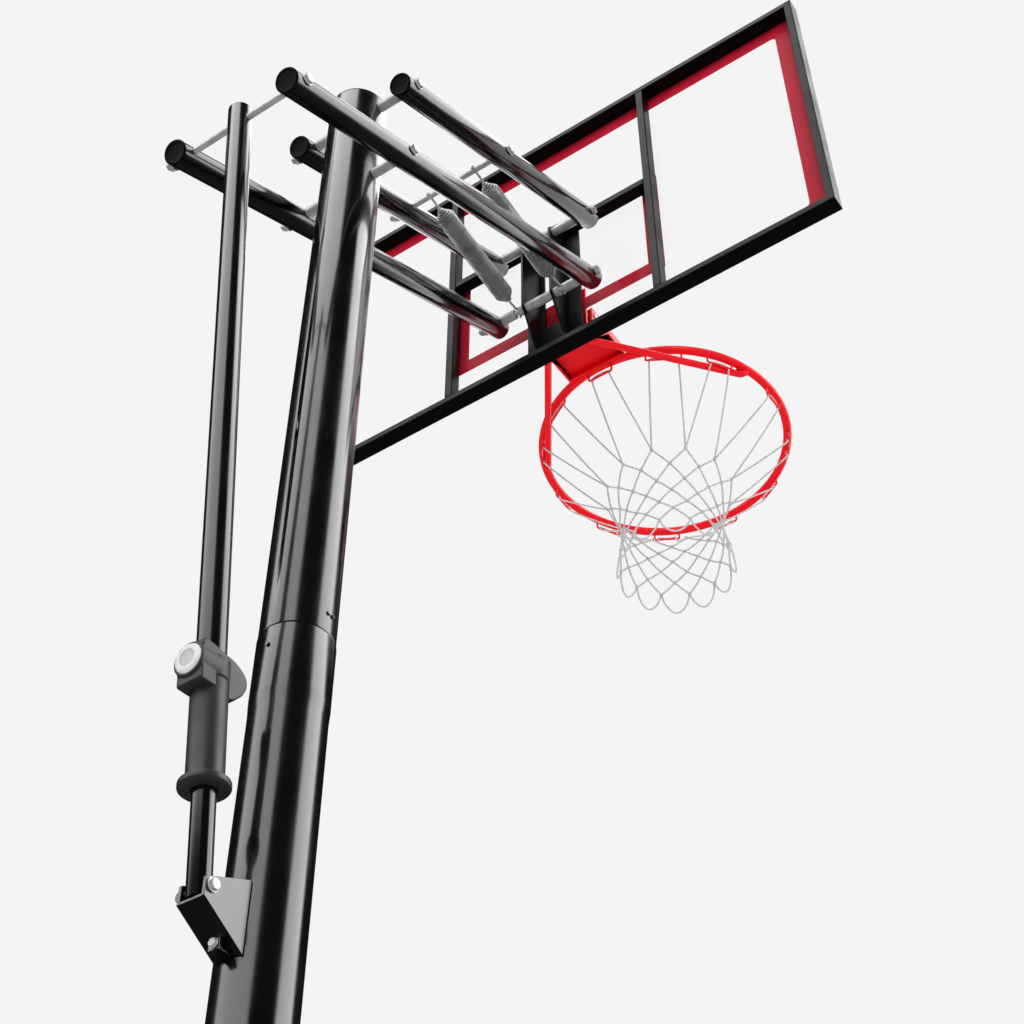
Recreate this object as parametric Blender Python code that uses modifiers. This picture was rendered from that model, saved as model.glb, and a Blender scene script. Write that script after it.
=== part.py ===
"""In-ground basketball hoop with a parallel-arm height lift and a breakaway rim.

Metres, +Z up. The origin is on the pole's axis at the ground, and the board faces +Y.
The arms stand at their highest setting.
"""

import math
from typing import NamedTuple

import bmesh
import bpy
from mathutils import Euler, Matrix, Vector

# Fits
GAP = 0.0003
FLAT_GAP = 0.00015
MERGE = 0.00001

# Height of the ring's top over the ground, at the highest setting
RIM_HEIGHT = 3.048

# Pole: three sections, each spigot in the socket of the section below
POLE_RADIUS = 0.04445
POLE_WALL = 0.0023
POLE_SEGMENTS = 32
TOP_SECTION = 1.130
MIDDLE_SECTION = 1.210
BURIED_DEPTH = 0.610
SPIGOT_REDUCTION = 0.0017
SOCKET_DEPTH = 0.090
SOCKET_TAPER = 0.018
SPIGOT_LENGTH = 0.088
POLE_ABOVE_PIVOT = 0.025
CAP_PLUG_DEPTH = 0.013
CAP_WALL = 0.003
CAP_DOME = 0.006
STOP_HOLE_RADIUS = 0.003
STOP_HOLE_DROPS = (0.557, 0.601)

# Arms: two parallel pairs, turning on bolts through the pole
ARM_RADIUS = 0.01905
ARM_WALL = 0.0016
ARM_SEGMENTS = 20
ARM_SIDE = 0.100
ARM_REACH = 0.594
ARM_RISE = math.radians(28.68)
ARM_SPACING = 0.185
ARM_OVERHANG = 0.020
REAR_LEVER = 0.265
UPPER_ARM_TAIL = 0.0225
SPRING_ANCHOR_REACH = 0.285
ARM_CAP_PLUG = 0.010
ARM_CAP_FACE = 0.003

# Bolts and nuts of the pivots
BOLT_RADIUS = 0.004763
BOLT_SEGMENTS = 12
HOLE_SEGMENTS = 16
HEX_RADIUS = 0.00825
HEAD_HEIGHT = 0.006
NUT_HEIGHT = 0.008
THREAD_OVERHANG = 0.004
SPACER_WALL = 0.0030

# Board: clear panel in four grooved rails, with a frame and a bracket behind it
BOARD_WIDTH = 1.1176
BOARD_HEIGHT = 0.6604
BOARD_BELOW_RIM = 0.127
PIVOT_ABOVE_BOARD_FOOT = 0.104
PIVOT_TO_FACE = 0.0559
PANEL_THICKNESS = 0.004
RAIL_WIDTH = 0.015
RAIL_DEPTH = 0.030
RAIL_LIP = 0.002
GROOVE_DEPTH = 0.010
PANEL_INSET = 0.0095
BAR_INNER = 0.213
BAR_WIDTH = 0.016
BAR_DEPTH = 0.0237
CROSS_BAR_HEIGHT = 0.017
CROSS_BAR_ABOVE_PIVOT = 0.044
BRACKET_SIDE = 0.028
BRACKET_FLANGE = 0.028
BRACKET_PLATE = 0.004
BRACKET_EAR = 0.0125
BRACKET_TOP_ABOVE_PIVOT = 0.0634
BRACKET_FOOT_BELOW_PIVOT = 0.080
BRACKET_WINDOW_SIDE = 0.020
BRACKET_WINDOW_BELOW = 0.015
BRACKET_WINDOW_ABOVE = 0.165

# Rim: ring, housing that tips on a pin, and the springs that hold it level
RING_INNER_RADIUS = 0.2286
RING_ROD_RADIUS = 0.008
RING_GAP_TO_BOARD = 0.1524
RING_SEGMENTS = 48
RING_ROD_SEGMENTS = 10
HOOK_RADIUS = 0.002
HOOK_DROP = 0.0177
HOOK_CORNER = 0.0035
HOUSING_SIDE = 0.061
HOUSING_PLATE = 0.004
HOUSING_DROP = 0.002
HOUSING_TOP_DEPTH = 0.018
HOUSING_FOOT_DROP = 0.076
HOUSING_FOOT_HEIGHT = 0.030
HOUSING_FOOT_FRONT = 0.012
HOUSING_CHIN = 0.055
RIM_PIN_FROM_FACE = 0.035
RIM_PIN_DROP = 0.018
RIM_PIN_RADIUS = 0.004
RIM_PIN_HEAD = 0.007
RIM_PIN_HEAD_HEIGHT = 0.0025
MOUNT_PLATE_WIDTH = 0.124
MOUNT_PLATE_THICKNESS = 0.004
MOUNT_PLATE_TOP_ABOVE_RIM = 0.030
MOUNT_EAR_SIDE = 0.045
MOUNT_EAR_RADIUS = 0.0105
RIM_SPRING_SIDE = 0.030
RIM_SPRING_RADIUS = 0.0085
RIM_SPRING_WIRE = 0.0025
BRACE_RADIUS = 0.0065
BRACE_FOOT_SIDE = 0.0395
BRACE_FOOT_HEIGHT = 0.0065
BRACE_END_TURN = math.radians(67.74)
BRACE_END_INSET = 0.0085

# Angles from the ring's back to the legs of each net hook, in degrees: the middle ones, then the right side's
MIDDLE_HOOKS = ((-6, 6), (174, 186))
SIDE_HOOKS = ((22, 38), (50, 62), (84, 96), (114, 126), (144, 156))

# Net: distance inside the ring's rod at each drop below the ring's hooks
NET_OUTLINE = (
    (0.0, 0.0),
    (0.0436, 0.040),
    (0.1166, 0.114),
    (0.1276, 0.143),
    (0.1381, 0.172),
    (0.1421, 0.200),
    (0.1421, 0.226),
    (0.1346, 0.279),
    (0.1296, 0.317),
)
NET_THICKNESS = 0.004
NET_SEGMENTS = 24

# Lift: two telescoping tubes from the lower arms' rear pin to the bracket on the pole
LIFT_FOOT_DROP = 1.2945
LIFT_FOOT_STANDOFF = 0.050
LIFT_SEGMENTS = 24
INNER_TUBE_RADIUS = 0.0127
INNER_TUBE_WALL = 0.0015
INNER_TUBE_LENGTH = 0.610
INNER_TUBE_OVERHANG = 0.010
TUBE_CLEARANCE = 0.0023
OUTER_TUBE_WALL = 0.0015
OUTER_TUBE_OVERHANG = 0.025
FLANGE_BOTTOM = 0.1085
FLANGE_TOP = 0.1205
FLANGE_STEP = 0.0075
FLANGE_EDGE = 0.004
FLANGE_LIP = 0.012
SLEEVE_WALL = 0.0032
COLLAR_BOTTOM = 0.238
COLLAR_HEIGHT = 0.025
COLLAR_WALL = 0.004
BUTTON_HEIGHT = 0.2516
BUTTON_BEHIND_TUBE = 0.0207
BUTTON_RADIUS = 0.0175
BUTTON_THICKNESS = 0.0077
BUTTON_EDGE = 0.0015
BARREL_WALL = 0.003
BARREL_BEHIND_TUBE = 0.0175
RECESS_BEHIND_TUBE = 0.005

# Hood of the grip housing seen from its side: distance towards the pole and height above the lift's foot
HOOD_OUTLINE = (
    (-0.032, 0.240),
    (-0.032, 0.270),
    (-0.026, 0.2755),
    (-0.014, 0.273),
    (0.003, 0.266),
    (0.030, 0.2545),
    (0.045, 0.2475),
    (0.045, 0.2415),
    (0.032, COLLAR_BOTTOM),
    (-0.026, COLLAR_BOTTOM),
)
HOOD_WIDTH = 0.035
BUTTON_SPRING_RADIUS = 0.008
BUTTON_SPRING_WIRE = 0.0012

# Lift bracket: two ears and a sloping web behind the pole
EAR_CLEARANCE = 0.0008
EAR_THICKNESS = 0.004
EAR_TOP = 0.0345
EAR_REAR = 0.0095
EAR_REAR_TOP = 0.006
WEB_TOP_DROP = 0.0155
WEB_FOOT_DROP = 0.067
WEB_THICKNESS = 0.003
WEB_INSET = 0.0003
BOSS_HALF = 0.009
BOSS_DROP = 0.0505
BOSS_BEHIND_POLE = 0.0295
BOSS_DEPTH = 0.0215
BRACKET_BOLT_RADIUS = 0.004
BRACKET_BOLT_HEX = 0.0065
BRACKET_BOLT_HEAD = 0.005
BRACKET_BOLT_INSIDE = 0.008

# Counterbalance springs: coned coils with a hook at each end
SPRING_SIDE = 0.047
SPRING_RADIUS = 0.0175
SPRING_WIRE = 0.0035
SPRING_END = 0.030
SPRING_CONE = 0.018
SPRING_SEGMENTS = 16
HOOK_WIRE = 0.0022
HOOK_SLACK = 0.0015
HOOK_LEAD = 0.0115
HOOK_TAIL = 0.006
HOOK_START = 20
HOOK_END = 160
HOOK_STEPS = 7

# Places worked out from the sizes above
BOLT_HOLE = BOLT_RADIUS + GAP
ARM_OUTER = ARM_SIDE + ARM_RADIUS
ARM_INNER = ARM_SIDE - ARM_RADIUS
FRONT_PIVOT_Z = RIM_HEIGHT - BOARD_BELOW_RIM + PIVOT_ABOVE_BOARD_FOOT
LOWER_PIVOT_Z = FRONT_PIVOT_Z - ARM_REACH * math.sin(ARM_RISE)
UPPER_PIVOT_Z = LOWER_PIVOT_Z + ARM_SPACING
FRONT_Y = ARM_REACH * math.cos(ARM_RISE)
FRONT_UPPER_Z = FRONT_PIVOT_Z + ARM_SPACING
POLE_TOP = UPPER_PIVOT_Z + POLE_ABOVE_PIVOT
UPPER_SEAM = POLE_TOP - TOP_SECTION
LOWER_SEAM = UPPER_SEAM - MIDDLE_SECTION
SPIGOT_RADIUS = POLE_RADIUS - SPIGOT_REDUCTION
SOCKET_INNER = SPIGOT_RADIUS + GAP
SOCKET_OUTER = SOCKET_INNER + POLE_WALL

LOWER_PIVOT = Vector((0.0, 0.0, LOWER_PIVOT_Z))
UPPER_PIVOT = Vector((0.0, 0.0, UPPER_PIVOT_Z))
FRONT_LOWER = Vector((0.0, FRONT_Y, FRONT_PIVOT_Z))
FRONT_UPPER = Vector((0.0, FRONT_Y, FRONT_UPPER_Z))
ALONG_ARM = Vector((0.0, math.cos(ARM_RISE), math.sin(ARM_RISE)))
LIFT_PIN = LOWER_PIVOT - ALONG_ARM * REAR_LEVER
SPRING_ANCHOR = UPPER_PIVOT + ALONG_ARM * SPRING_ANCHOR_REACH
LIFT_FOOT = Vector((0.0, -POLE_RADIUS - LIFT_FOOT_STANDOFF, LOWER_PIVOT_Z - LIFT_FOOT_DROP))
LIFT_LENGTH = (LIFT_PIN - LIFT_FOOT).length
LIFT_TILT = math.atan2(LIFT_FOOT.y - LIFT_PIN.y, LIFT_PIN.z - LIFT_FOOT.z)
SPRING_LENGTH = (FRONT_LOWER - SPRING_ANCHOR).length
SPRING_TURN = math.atan2(FRONT_LOWER.z - SPRING_ANCHOR.z, FRONT_LOWER.y - SPRING_ANCHOR.y) - math.pi / 2

BOARD_FACE = FRONT_Y + PIVOT_TO_FACE
PANEL_BACK = BOARD_FACE - PANEL_THICKNESS
BOARD_BOTTOM = RIM_HEIGHT - BOARD_BELOW_RIM
BOARD_TOP = BOARD_BOTTOM + BOARD_HEIGHT
RAIL_FRONT = BOARD_FACE + RAIL_LIP
RAIL_BACK = RAIL_FRONT - RAIL_DEPTH
BAR_FRONT = PANEL_BACK - GAP
BAR_BACK = BAR_FRONT - BAR_DEPTH
CROSS_BAR_BOTTOM = FRONT_UPPER_Z + CROSS_BAR_ABOVE_PIVOT
RING_RADIUS = RING_INNER_RADIUS + RING_ROD_RADIUS
OUTER_TUBE_RADIUS = INNER_TUBE_RADIUS + TUBE_CLEARANCE + OUTER_TUBE_WALL
SLEEVE_RADIUS = OUTER_TUBE_RADIUS + GAP + SLEEVE_WALL
FLANGE_RADIUS = SLEEVE_RADIUS + FLANGE_STEP
BUTTON_REACH = OUTER_TUBE_RADIUS + BUTTON_BEHIND_TUBE
BARREL_REACH = OUTER_TUBE_RADIUS + BARREL_BEHIND_TUBE
RECESS_FLOOR = OUTER_TUBE_RADIUS + RECESS_BEHIND_TUBE
RING_Z = RIM_HEIGHT - RING_ROD_RADIUS
RING_Y = BOARD_FACE + RING_GAP_TO_BOARD + RING_INNER_RADIUS
RIM_PIN = Vector((0.0, BOARD_FACE + RIM_PIN_FROM_FACE, RIM_HEIGHT - RIM_PIN_DROP))


class Finish(NamedTuple):
    """Look of one kind of surface: its colour, roughness and metallic value."""

    colour: tuple
    roughness: float
    metallic: float


BLACK_STEEL = Finish((0.010, 0.010, 0.011), 0.30, 0.0)
BLACK_PLASTIC = Finish((0.015, 0.015, 0.016), 0.55, 0.0)
ZINC = Finish((0.62, 0.63, 0.65), 0.35, 0.9)
SPRING_STEEL = Finish((0.33, 0.34, 0.35), 0.38, 0.85)
RED_STEEL = Finish((0.72, 0.012, 0.018), 0.33, 0.0)
WHITE_PLASTIC = Finish((0.80, 0.80, 0.78), 0.40, 0.0)
CLEAR_SHEET = Finish((0.90, 0.93, 0.94), 0.08, 0.0)
NET_CORD = Finish((0.86, 0.86, 0.85), 0.75, 0.0)


def clear_scene() -> None:
    """Remove every object of the scene."""
    for old in list(bpy.data.objects):
        bpy.data.objects.remove(old, do_unlink=True)


def new_collection(name: str) -> bpy.types.Collection:
    """Make a collection in the scene."""
    made = bpy.data.collections.new(name)
    bpy.context.scene.collection.children.link(made)
    return made


ORIGIN = (0.0, 0.0, 0.0)
clear_scene()
PARTS = new_collection("basketball_hoop")
CUTTERS = new_collection("cutters")


def joint_axis(name: str, place: Vector, turn: float = 0.0) -> bpy.types.Object:
    """Make an empty on a joint's axis, turned about X."""
    empty = bpy.data.objects.new(name, None)
    PARTS.objects.link(empty)
    empty.location = place
    empty.rotation_euler = (turn, 0.0, 0.0)
    return empty


def ride(part: bpy.types.Object, axis: bpy.types.Object) -> None:
    """Parent a part to a joint's empty, and keep the part where it is."""
    part.parent = axis
    part.matrix_parent_inverse = Matrix.LocRotScale(axis.location, axis.rotation_euler, None).inverted()


def paint(part: bpy.types.Object, finish: Finish) -> None:
    """Give a part a material of its own."""
    made = bpy.data.materials.new(part.name)
    made.use_nodes = True
    shader = made.node_tree.nodes["Principled BSDF"]
    shader.inputs["Base Color"].default_value = (*finish.colour, 1.0)
    shader.inputs["Roughness"].default_value = finish.roughness
    shader.inputs["Metallic"].default_value = finish.metallic
    part.data.materials.append(made)


def add_part(name, data, finish, place=ORIGIN, turn=ORIGIN, axis=None):
    """Make one sub-part from mesh or curve data, painted, placed and parented."""
    part = bpy.data.objects.new(name, data)
    PARTS.objects.link(part)
    part.location = place
    part.rotation_euler = turn
    paint(part, finish)
    if axis is not None:
        ride(part, axis)
    return part


def add_cutter(name, data, place=ORIGIN, turn=ORIGIN):
    """Make a shape that only cuts, or joins, the parts."""
    cutter = bpy.data.objects.new(name, data)
    CUTTERS.objects.link(cutter)
    cutter.location = place
    cutter.rotation_euler = turn
    cutter.hide_render = True
    cutter.display_type = "WIRE"
    return cutter


def combine(part: bpy.types.Object, other: bpy.types.Object, operation: str) -> None:
    """Cut another shape out of a part, or join it to the part."""
    step = part.modifiers.new(other.name, "BOOLEAN")
    step.operation = operation
    step.solver = "EXACT"
    step.object = other


def cut(part: bpy.types.Object, *cutters: bpy.types.Object) -> None:
    """Cut each shape out of a part."""
    for cutter in cutters:
        combine(part, cutter, "DIFFERENCE")


def join(part: bpy.types.Object, *others: bpy.types.Object) -> None:
    """Join each shape to a part."""
    for other in others:
        combine(part, other, "UNION")


def mesh_from(bm: bmesh.types.BMesh, name: str) -> bpy.types.Mesh:
    """Turn a bmesh into a mesh whose flat faces stay sharp."""
    bmesh.ops.recalc_face_normals(bm, faces=bm.faces)
    mesh = bpy.data.meshes.new(name)
    bm.to_mesh(mesh)
    bm.free()
    mesh.shade_smooth()
    mesh.set_sharp_from_angle(angle=math.radians(35.0))
    return mesh


def box_mesh(name: str, low: Vector, high: Vector) -> bpy.types.Mesh:
    """Make a box between two corners."""
    bm = bmesh.new()
    bmesh.ops.create_cube(bm, size=1.0)
    bmesh.ops.scale(bm, vec=high - low, verts=bm.verts)
    bmesh.ops.translate(bm, vec=(low + high) / 2, verts=bm.verts)
    return mesh_from(bm, name)


def rod_mesh(name: str, radius: float, low: float, high: float, segments: int, axis="X") -> bpy.types.Mesh:
    """Make a cylinder between two places along X, Y or Z."""
    turns = {"X": Euler((0.0, math.pi / 2, 0.0)), "Y": Euler((-math.pi / 2, 0.0, 0.0)), "Z": Euler()}
    shift = Matrix.Translation((0.0, 0.0, (low + high) / 2))
    bm = bmesh.new()
    bmesh.ops.create_cone(
        bm,
        cap_ends=True,
        segments=segments,
        radius1=radius,
        radius2=radius,
        depth=high - low,
        matrix=turns[axis].to_matrix().to_4x4() @ shift,
    )
    return mesh_from(bm, name)


def outline_mesh(name: str, outline: list, thickness: float) -> bpy.types.Mesh:
    """Make a flat plate from an outline in XY, as thick as given along Z."""
    curve = bpy.data.curves.new(name, "CURVE")
    curve.dimensions = "2D"
    curve.fill_mode = "BOTH"
    curve.extrude = thickness / 2
    spline = curve.splines.new("POLY")
    spline.points.add(len(outline) - 1)
    for point, (across, up) in zip(spline.points, outline):
        point.co = (across, up, 0.0, 1.0)
    spline.use_cyclic_u = True
    return welded_mesh(name, curve)


def wire_curve(name: str, points: list, radius: float, resolution: int = 2) -> bpy.types.Curve:
    """Make a round wire through points, with closed ends."""
    curve = bpy.data.curves.new(name, "CURVE")
    curve.dimensions = "3D"
    curve.bevel_depth = radius
    curve.bevel_resolution = resolution
    curve.use_fill_caps = True
    spline = curve.splines.new("POLY")
    spline.points.add(len(points) - 1)
    for point, place in zip(spline.points, points):
        point.co = (*place, 1.0)
    return curve


def welded_mesh(name: str, curve: bpy.types.Curve) -> bpy.types.Mesh:
    """Turn a curve into a closed mesh, because a curve takes no boolean."""
    draft = bpy.data.objects.new(name, curve)
    bpy.context.scene.collection.objects.link(draft)
    depsgraph = bpy.context.evaluated_depsgraph_get()
    mesh = bpy.data.meshes.new_from_object(draft.evaluated_get(depsgraph))
    bpy.data.objects.remove(draft, do_unlink=True)
    bm = bmesh.new()
    bm.from_mesh(mesh)
    bmesh.ops.remove_doubles(bm, verts=bm.verts, dist=MERGE)
    bpy.data.meshes.remove(mesh)
    return mesh_from(bm, name)


def turned_mesh(name: str, profile: list, closed: bool) -> bpy.types.Mesh:
    """Make the profile that turned_part spins about Z, from (radius, height) points."""
    points = [(radius, 0.0, height) for radius, height in profile]
    edges = [(index, index + 1) for index in range(len(points) - 1)]
    if closed:
        edges.append((len(points) - 1, 0))
    mesh = bpy.data.meshes.new(name)
    mesh.from_pydata(points, edges, [])
    return mesh


def spin(part: bpy.types.Object, segments: int) -> None:
    """Turn a part's profile about its own Z axis."""
    step = part.modifiers.new("turned", "SCREW")
    step.axis = "Z"
    step.angle = 2 * math.pi
    step.steps = segments
    step.render_steps = segments
    step.use_merge_vertices = True
    step.merge_threshold = MERGE


def turned_part(name, profile, segments, finish, place=ORIGIN, turn=ORIGIN, axis=None, closed=True):
    """Make a turned sub-part. Its profile runs down the outer side, then up the inner side."""
    part = add_part(name, turned_mesh(name, profile, closed), finish, place, turn, axis)
    spin(part, segments)
    return part


def turned_cutter(name, profile, segments, place, turn, closed=False):
    """Make a turned shape that only joins or cuts."""
    cutter = add_cutter(name, turned_mesh(name, profile, closed), place, turn)
    spin(cutter, segments)
    return cutter


def tube_profile(outer: float, wall: float, low: float, high: float) -> list:
    """Profile of a plain tube between two heights."""
    return [(outer, high), (outer, low), (outer - wall, low), (outer - wall, high)]


def arc(centre: Vector, radius: float, start: float, end: float, steps: int) -> list:
    """Points of an arc in the YZ plane, from one angle to another in degrees, 0 facing +Y."""
    angles = [math.radians(start + (end - start) * step / steps) for step in range(steps + 1)]
    return [(centre.y + radius * math.cos(angle), centre.z + radius * math.sin(angle)) for angle in angles]


SIDE_PLATE_TURN = (math.pi / 2, 0.0, math.pi / 2)


def rod_hole(name: str, place: Vector) -> bpy.types.Object:
    """Make the hole that a pivot bolt takes through every piece it holds."""
    reach = ARM_OUTER + THREAD_OVERHANG + NUT_HEIGHT + HEAD_HEIGHT
    return add_cutter(name, rod_mesh(name, BOLT_HOLE, -reach, reach, HOLE_SEGMENTS), place)


def hex_bolt(
    name, place, head_face, tip, axis=None, radius=BOLT_RADIUS, hexagon=HEX_RADIUS, head=HEAD_HEIGHT
):
    """Make a hex bolt along X, its head outside head_face and its shank ending at tip."""
    side = math.copysign(1.0, head_face - tip)
    faces = sorted((head_face, head_face + side * head))
    part = add_part(name, rod_mesh(name, hexagon, faces[0], faces[1], 6), ZINC, place, axis=axis)
    ends = sorted((tip, head_face + side * head / 2))
    shank = rod_mesh(name + "_shank", radius, ends[0], ends[1], BOLT_SEGMENTS)
    join(part, add_cutter(name + "_shank", shank, place))
    return part


def hex_nut(name, place, face, hole, axis=None):
    """Make a nut on a pivot bolt's left end, its inner side at face."""
    part = add_part(name, rod_mesh(name, HEX_RADIUS, face - NUT_HEIGHT, face, 6), ZINC, place, axis=axis)
    cut(part, hole)
    return part


def pivot_set(name: str, place: Vector, axis=None) -> bpy.types.Object:
    """Make one long pivot bolt across both arms with its nut, and return the hole for it."""
    hole = rod_hole(name + "_hole", place)
    face = ARM_OUTER + GAP
    hex_bolt(name + "_bolt", place, face, -face - NUT_HEIGHT - THREAD_OVERHANG, axis)
    hex_nut(name + "_nut", place, -face, hole, axis)
    return hole


def section_profile(low: float, high: float, spigot: bool, socket: bool) -> list:
    """Profile of a pole section, with a swaged spigot below or a flared socket above."""
    inner = POLE_RADIUS - POLE_WALL
    outside = [(POLE_RADIUS, high)]
    inside = [(inner, high)]
    if socket:
        flare_end = high - SOCKET_DEPTH
        taper_end = flare_end - SOCKET_TAPER
        outside = [(SOCKET_OUTER, high), (SOCKET_OUTER, flare_end), (POLE_RADIUS, taper_end)]
        inside = [(inner, taper_end), (SOCKET_INNER, flare_end), (SOCKET_INNER, high)]
    if spigot:
        spigot_end = low - SPIGOT_LENGTH
        shoulder = low + POLE_WALL
        bore = SPIGOT_RADIUS - POLE_WALL
        outside += [(POLE_RADIUS, shoulder), (SPIGOT_RADIUS, low), (SPIGOT_RADIUS, spigot_end)]
        inside = [(bore, spigot_end), (bore, low), (inner, shoulder)] + inside
    else:
        outside.append((POLE_RADIUS, low))
        inside = [(inner, low)] + inside
    return outside + inside


def build_pole(upper_hole, lower_hole, bracket_hole) -> None:
    """Three pole sections, the cap, and the spacers of the arm pivots."""
    top = turned_part(
        "pole_top", section_profile(UPPER_SEAM + GAP, POLE_TOP, True, False), POLE_SEGMENTS, BLACK_STEEL
    )
    middle = turned_part(
        "pole_middle", section_profile(LOWER_SEAM + GAP, UPPER_SEAM, True, True), POLE_SEGMENTS, BLACK_STEEL
    )
    foot = section_profile(-BURIED_DEPTH, LOWER_SEAM, False, True)
    turned_part("pole_bottom", foot, POLE_SEGMENTS, BLACK_STEEL)
    cut(top, upper_hole, lower_hole)
    for number, drop in enumerate(STOP_HOLE_DROPS, start=1):
        name = f"stop_hole_{number}"
        mesh = rod_mesh(name, STOP_HOLE_RADIUS, -2 * POLE_RADIUS, -POLE_RADIUS / 2, BOLT_SEGMENTS, "Y")
        cut(top, add_cutter(name, mesh, (0.0, 0.0, LOWER_PIVOT_Z - drop)))
    cut(middle, bracket_hole)

    plug = POLE_RADIUS - POLE_WALL - GAP
    rim_bottom = POLE_TOP + GAP
    dome_top = rim_bottom + CAP_DOME
    profile = [
        (0.0, dome_top),
        (0.6 * POLE_RADIUS, dome_top - 0.15 * CAP_DOME),
        (POLE_RADIUS, rim_bottom + CAP_DOME / 3),
        (POLE_RADIUS, rim_bottom),
        (plug, rim_bottom),
        (plug, rim_bottom - CAP_PLUG_DEPTH),
        (plug - CAP_WALL, rim_bottom - CAP_PLUG_DEPTH),
        (plug - CAP_WALL, dome_top - CAP_DOME - CAP_WALL / 3),
        (0.0, dome_top - CAP_DOME - CAP_WALL / 3),
    ]
    turned_part("pole_cap", profile, POLE_SEGMENTS, BLACK_PLASTIC, closed=False)

    for level, pivot in (("upper", UPPER_PIVOT), ("lower", LOWER_PIVOT)):
        for side, sign in (("left", -1), ("right", 1)):
            profile = tube_profile(BOLT_HOLE + SPACER_WALL, SPACER_WALL, POLE_RADIUS + GAP, ARM_INNER - GAP)
            turn = (0.0, sign * math.pi / 2, 0.0)
            turned_part(f"{level}_spacer_{side}", profile, HOLE_SEGMENTS, ZINC, pivot, turn)


def build_arms() -> dict:
    """Both pairs of arms with their caps and cross bolts. Returns the holes by name."""
    holes = {
        "upper": pivot_set("upper_pivot", UPPER_PIVOT),
        "lower": pivot_set("lower_pivot", LOWER_PIVOT),
    }
    lower_axis = joint_axis("lower_arms_axis", LOWER_PIVOT, ARM_RISE)
    upper_axis = joint_axis("upper_arms_axis", UPPER_PIVOT, ARM_RISE)
    holes["lift_pin"] = pivot_set("lift_pin", LIFT_PIN, lower_axis)
    holes["anchor"] = pivot_set("spring_anchor", SPRING_ANCHOR, upper_axis)
    holes["front_lower"] = rod_hole("front_lower_hole", FRONT_LOWER)
    holes["front_upper"] = rod_hole("front_upper_hole", FRONT_UPPER)
    levels = (
        ("lower", LOWER_PIVOT, lower_axis, REAR_LEVER + ARM_OVERHANG, ("lower", "lift_pin", "front_lower")),
        ("upper", UPPER_PIVOT, upper_axis, UPPER_ARM_TAIL, ("upper", "anchor", "front_upper")),
    )
    turn = (ARM_RISE - math.pi / 2, 0.0, 0.0)
    for level, pivot, axis, tail, crossings in levels:
        for side, sign in (("left", -1), ("right", 1)):
            place = pivot + Vector((sign * ARM_SIDE, 0.0, 0.0))
            profile = tube_profile(ARM_RADIUS, ARM_WALL, -tail, ARM_REACH + ARM_OVERHANG)
            arm = turned_part(f"{level}_arm_{side}", profile, ARM_SEGMENTS, BLACK_STEEL, place, turn, axis)
            cut(arm, *(holes[crossing] for crossing in crossings))
            plug = ARM_RADIUS - ARM_WALL - GAP
            face = -tail - GAP
            profile = [
                (0.0, face + ARM_CAP_PLUG),
                (plug, face + ARM_CAP_PLUG),
                (plug, face),
                (ARM_RADIUS, face),
                (0.93 * ARM_RADIUS, face - ARM_CAP_FACE),
                (0.0, face - ARM_CAP_FACE),
            ]
            name = f"{level}_arm_cap_{side}"
            turned_part(name, profile, ARM_SEGMENTS, BLACK_PLASTIC, place, turn, axis, closed=False)
    return holes


def lift_point(behind: float, above: float) -> Vector:
    """Place at a distance behind the lift's axis and a height above its foot, along the lift."""
    back = Vector((0.0, -math.cos(LIFT_TILT), -math.sin(LIFT_TILT)))
    up = Vector((0.0, -math.sin(LIFT_TILT), math.cos(LIFT_TILT)))
    return LIFT_FOOT + back * behind + up * above


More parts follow.
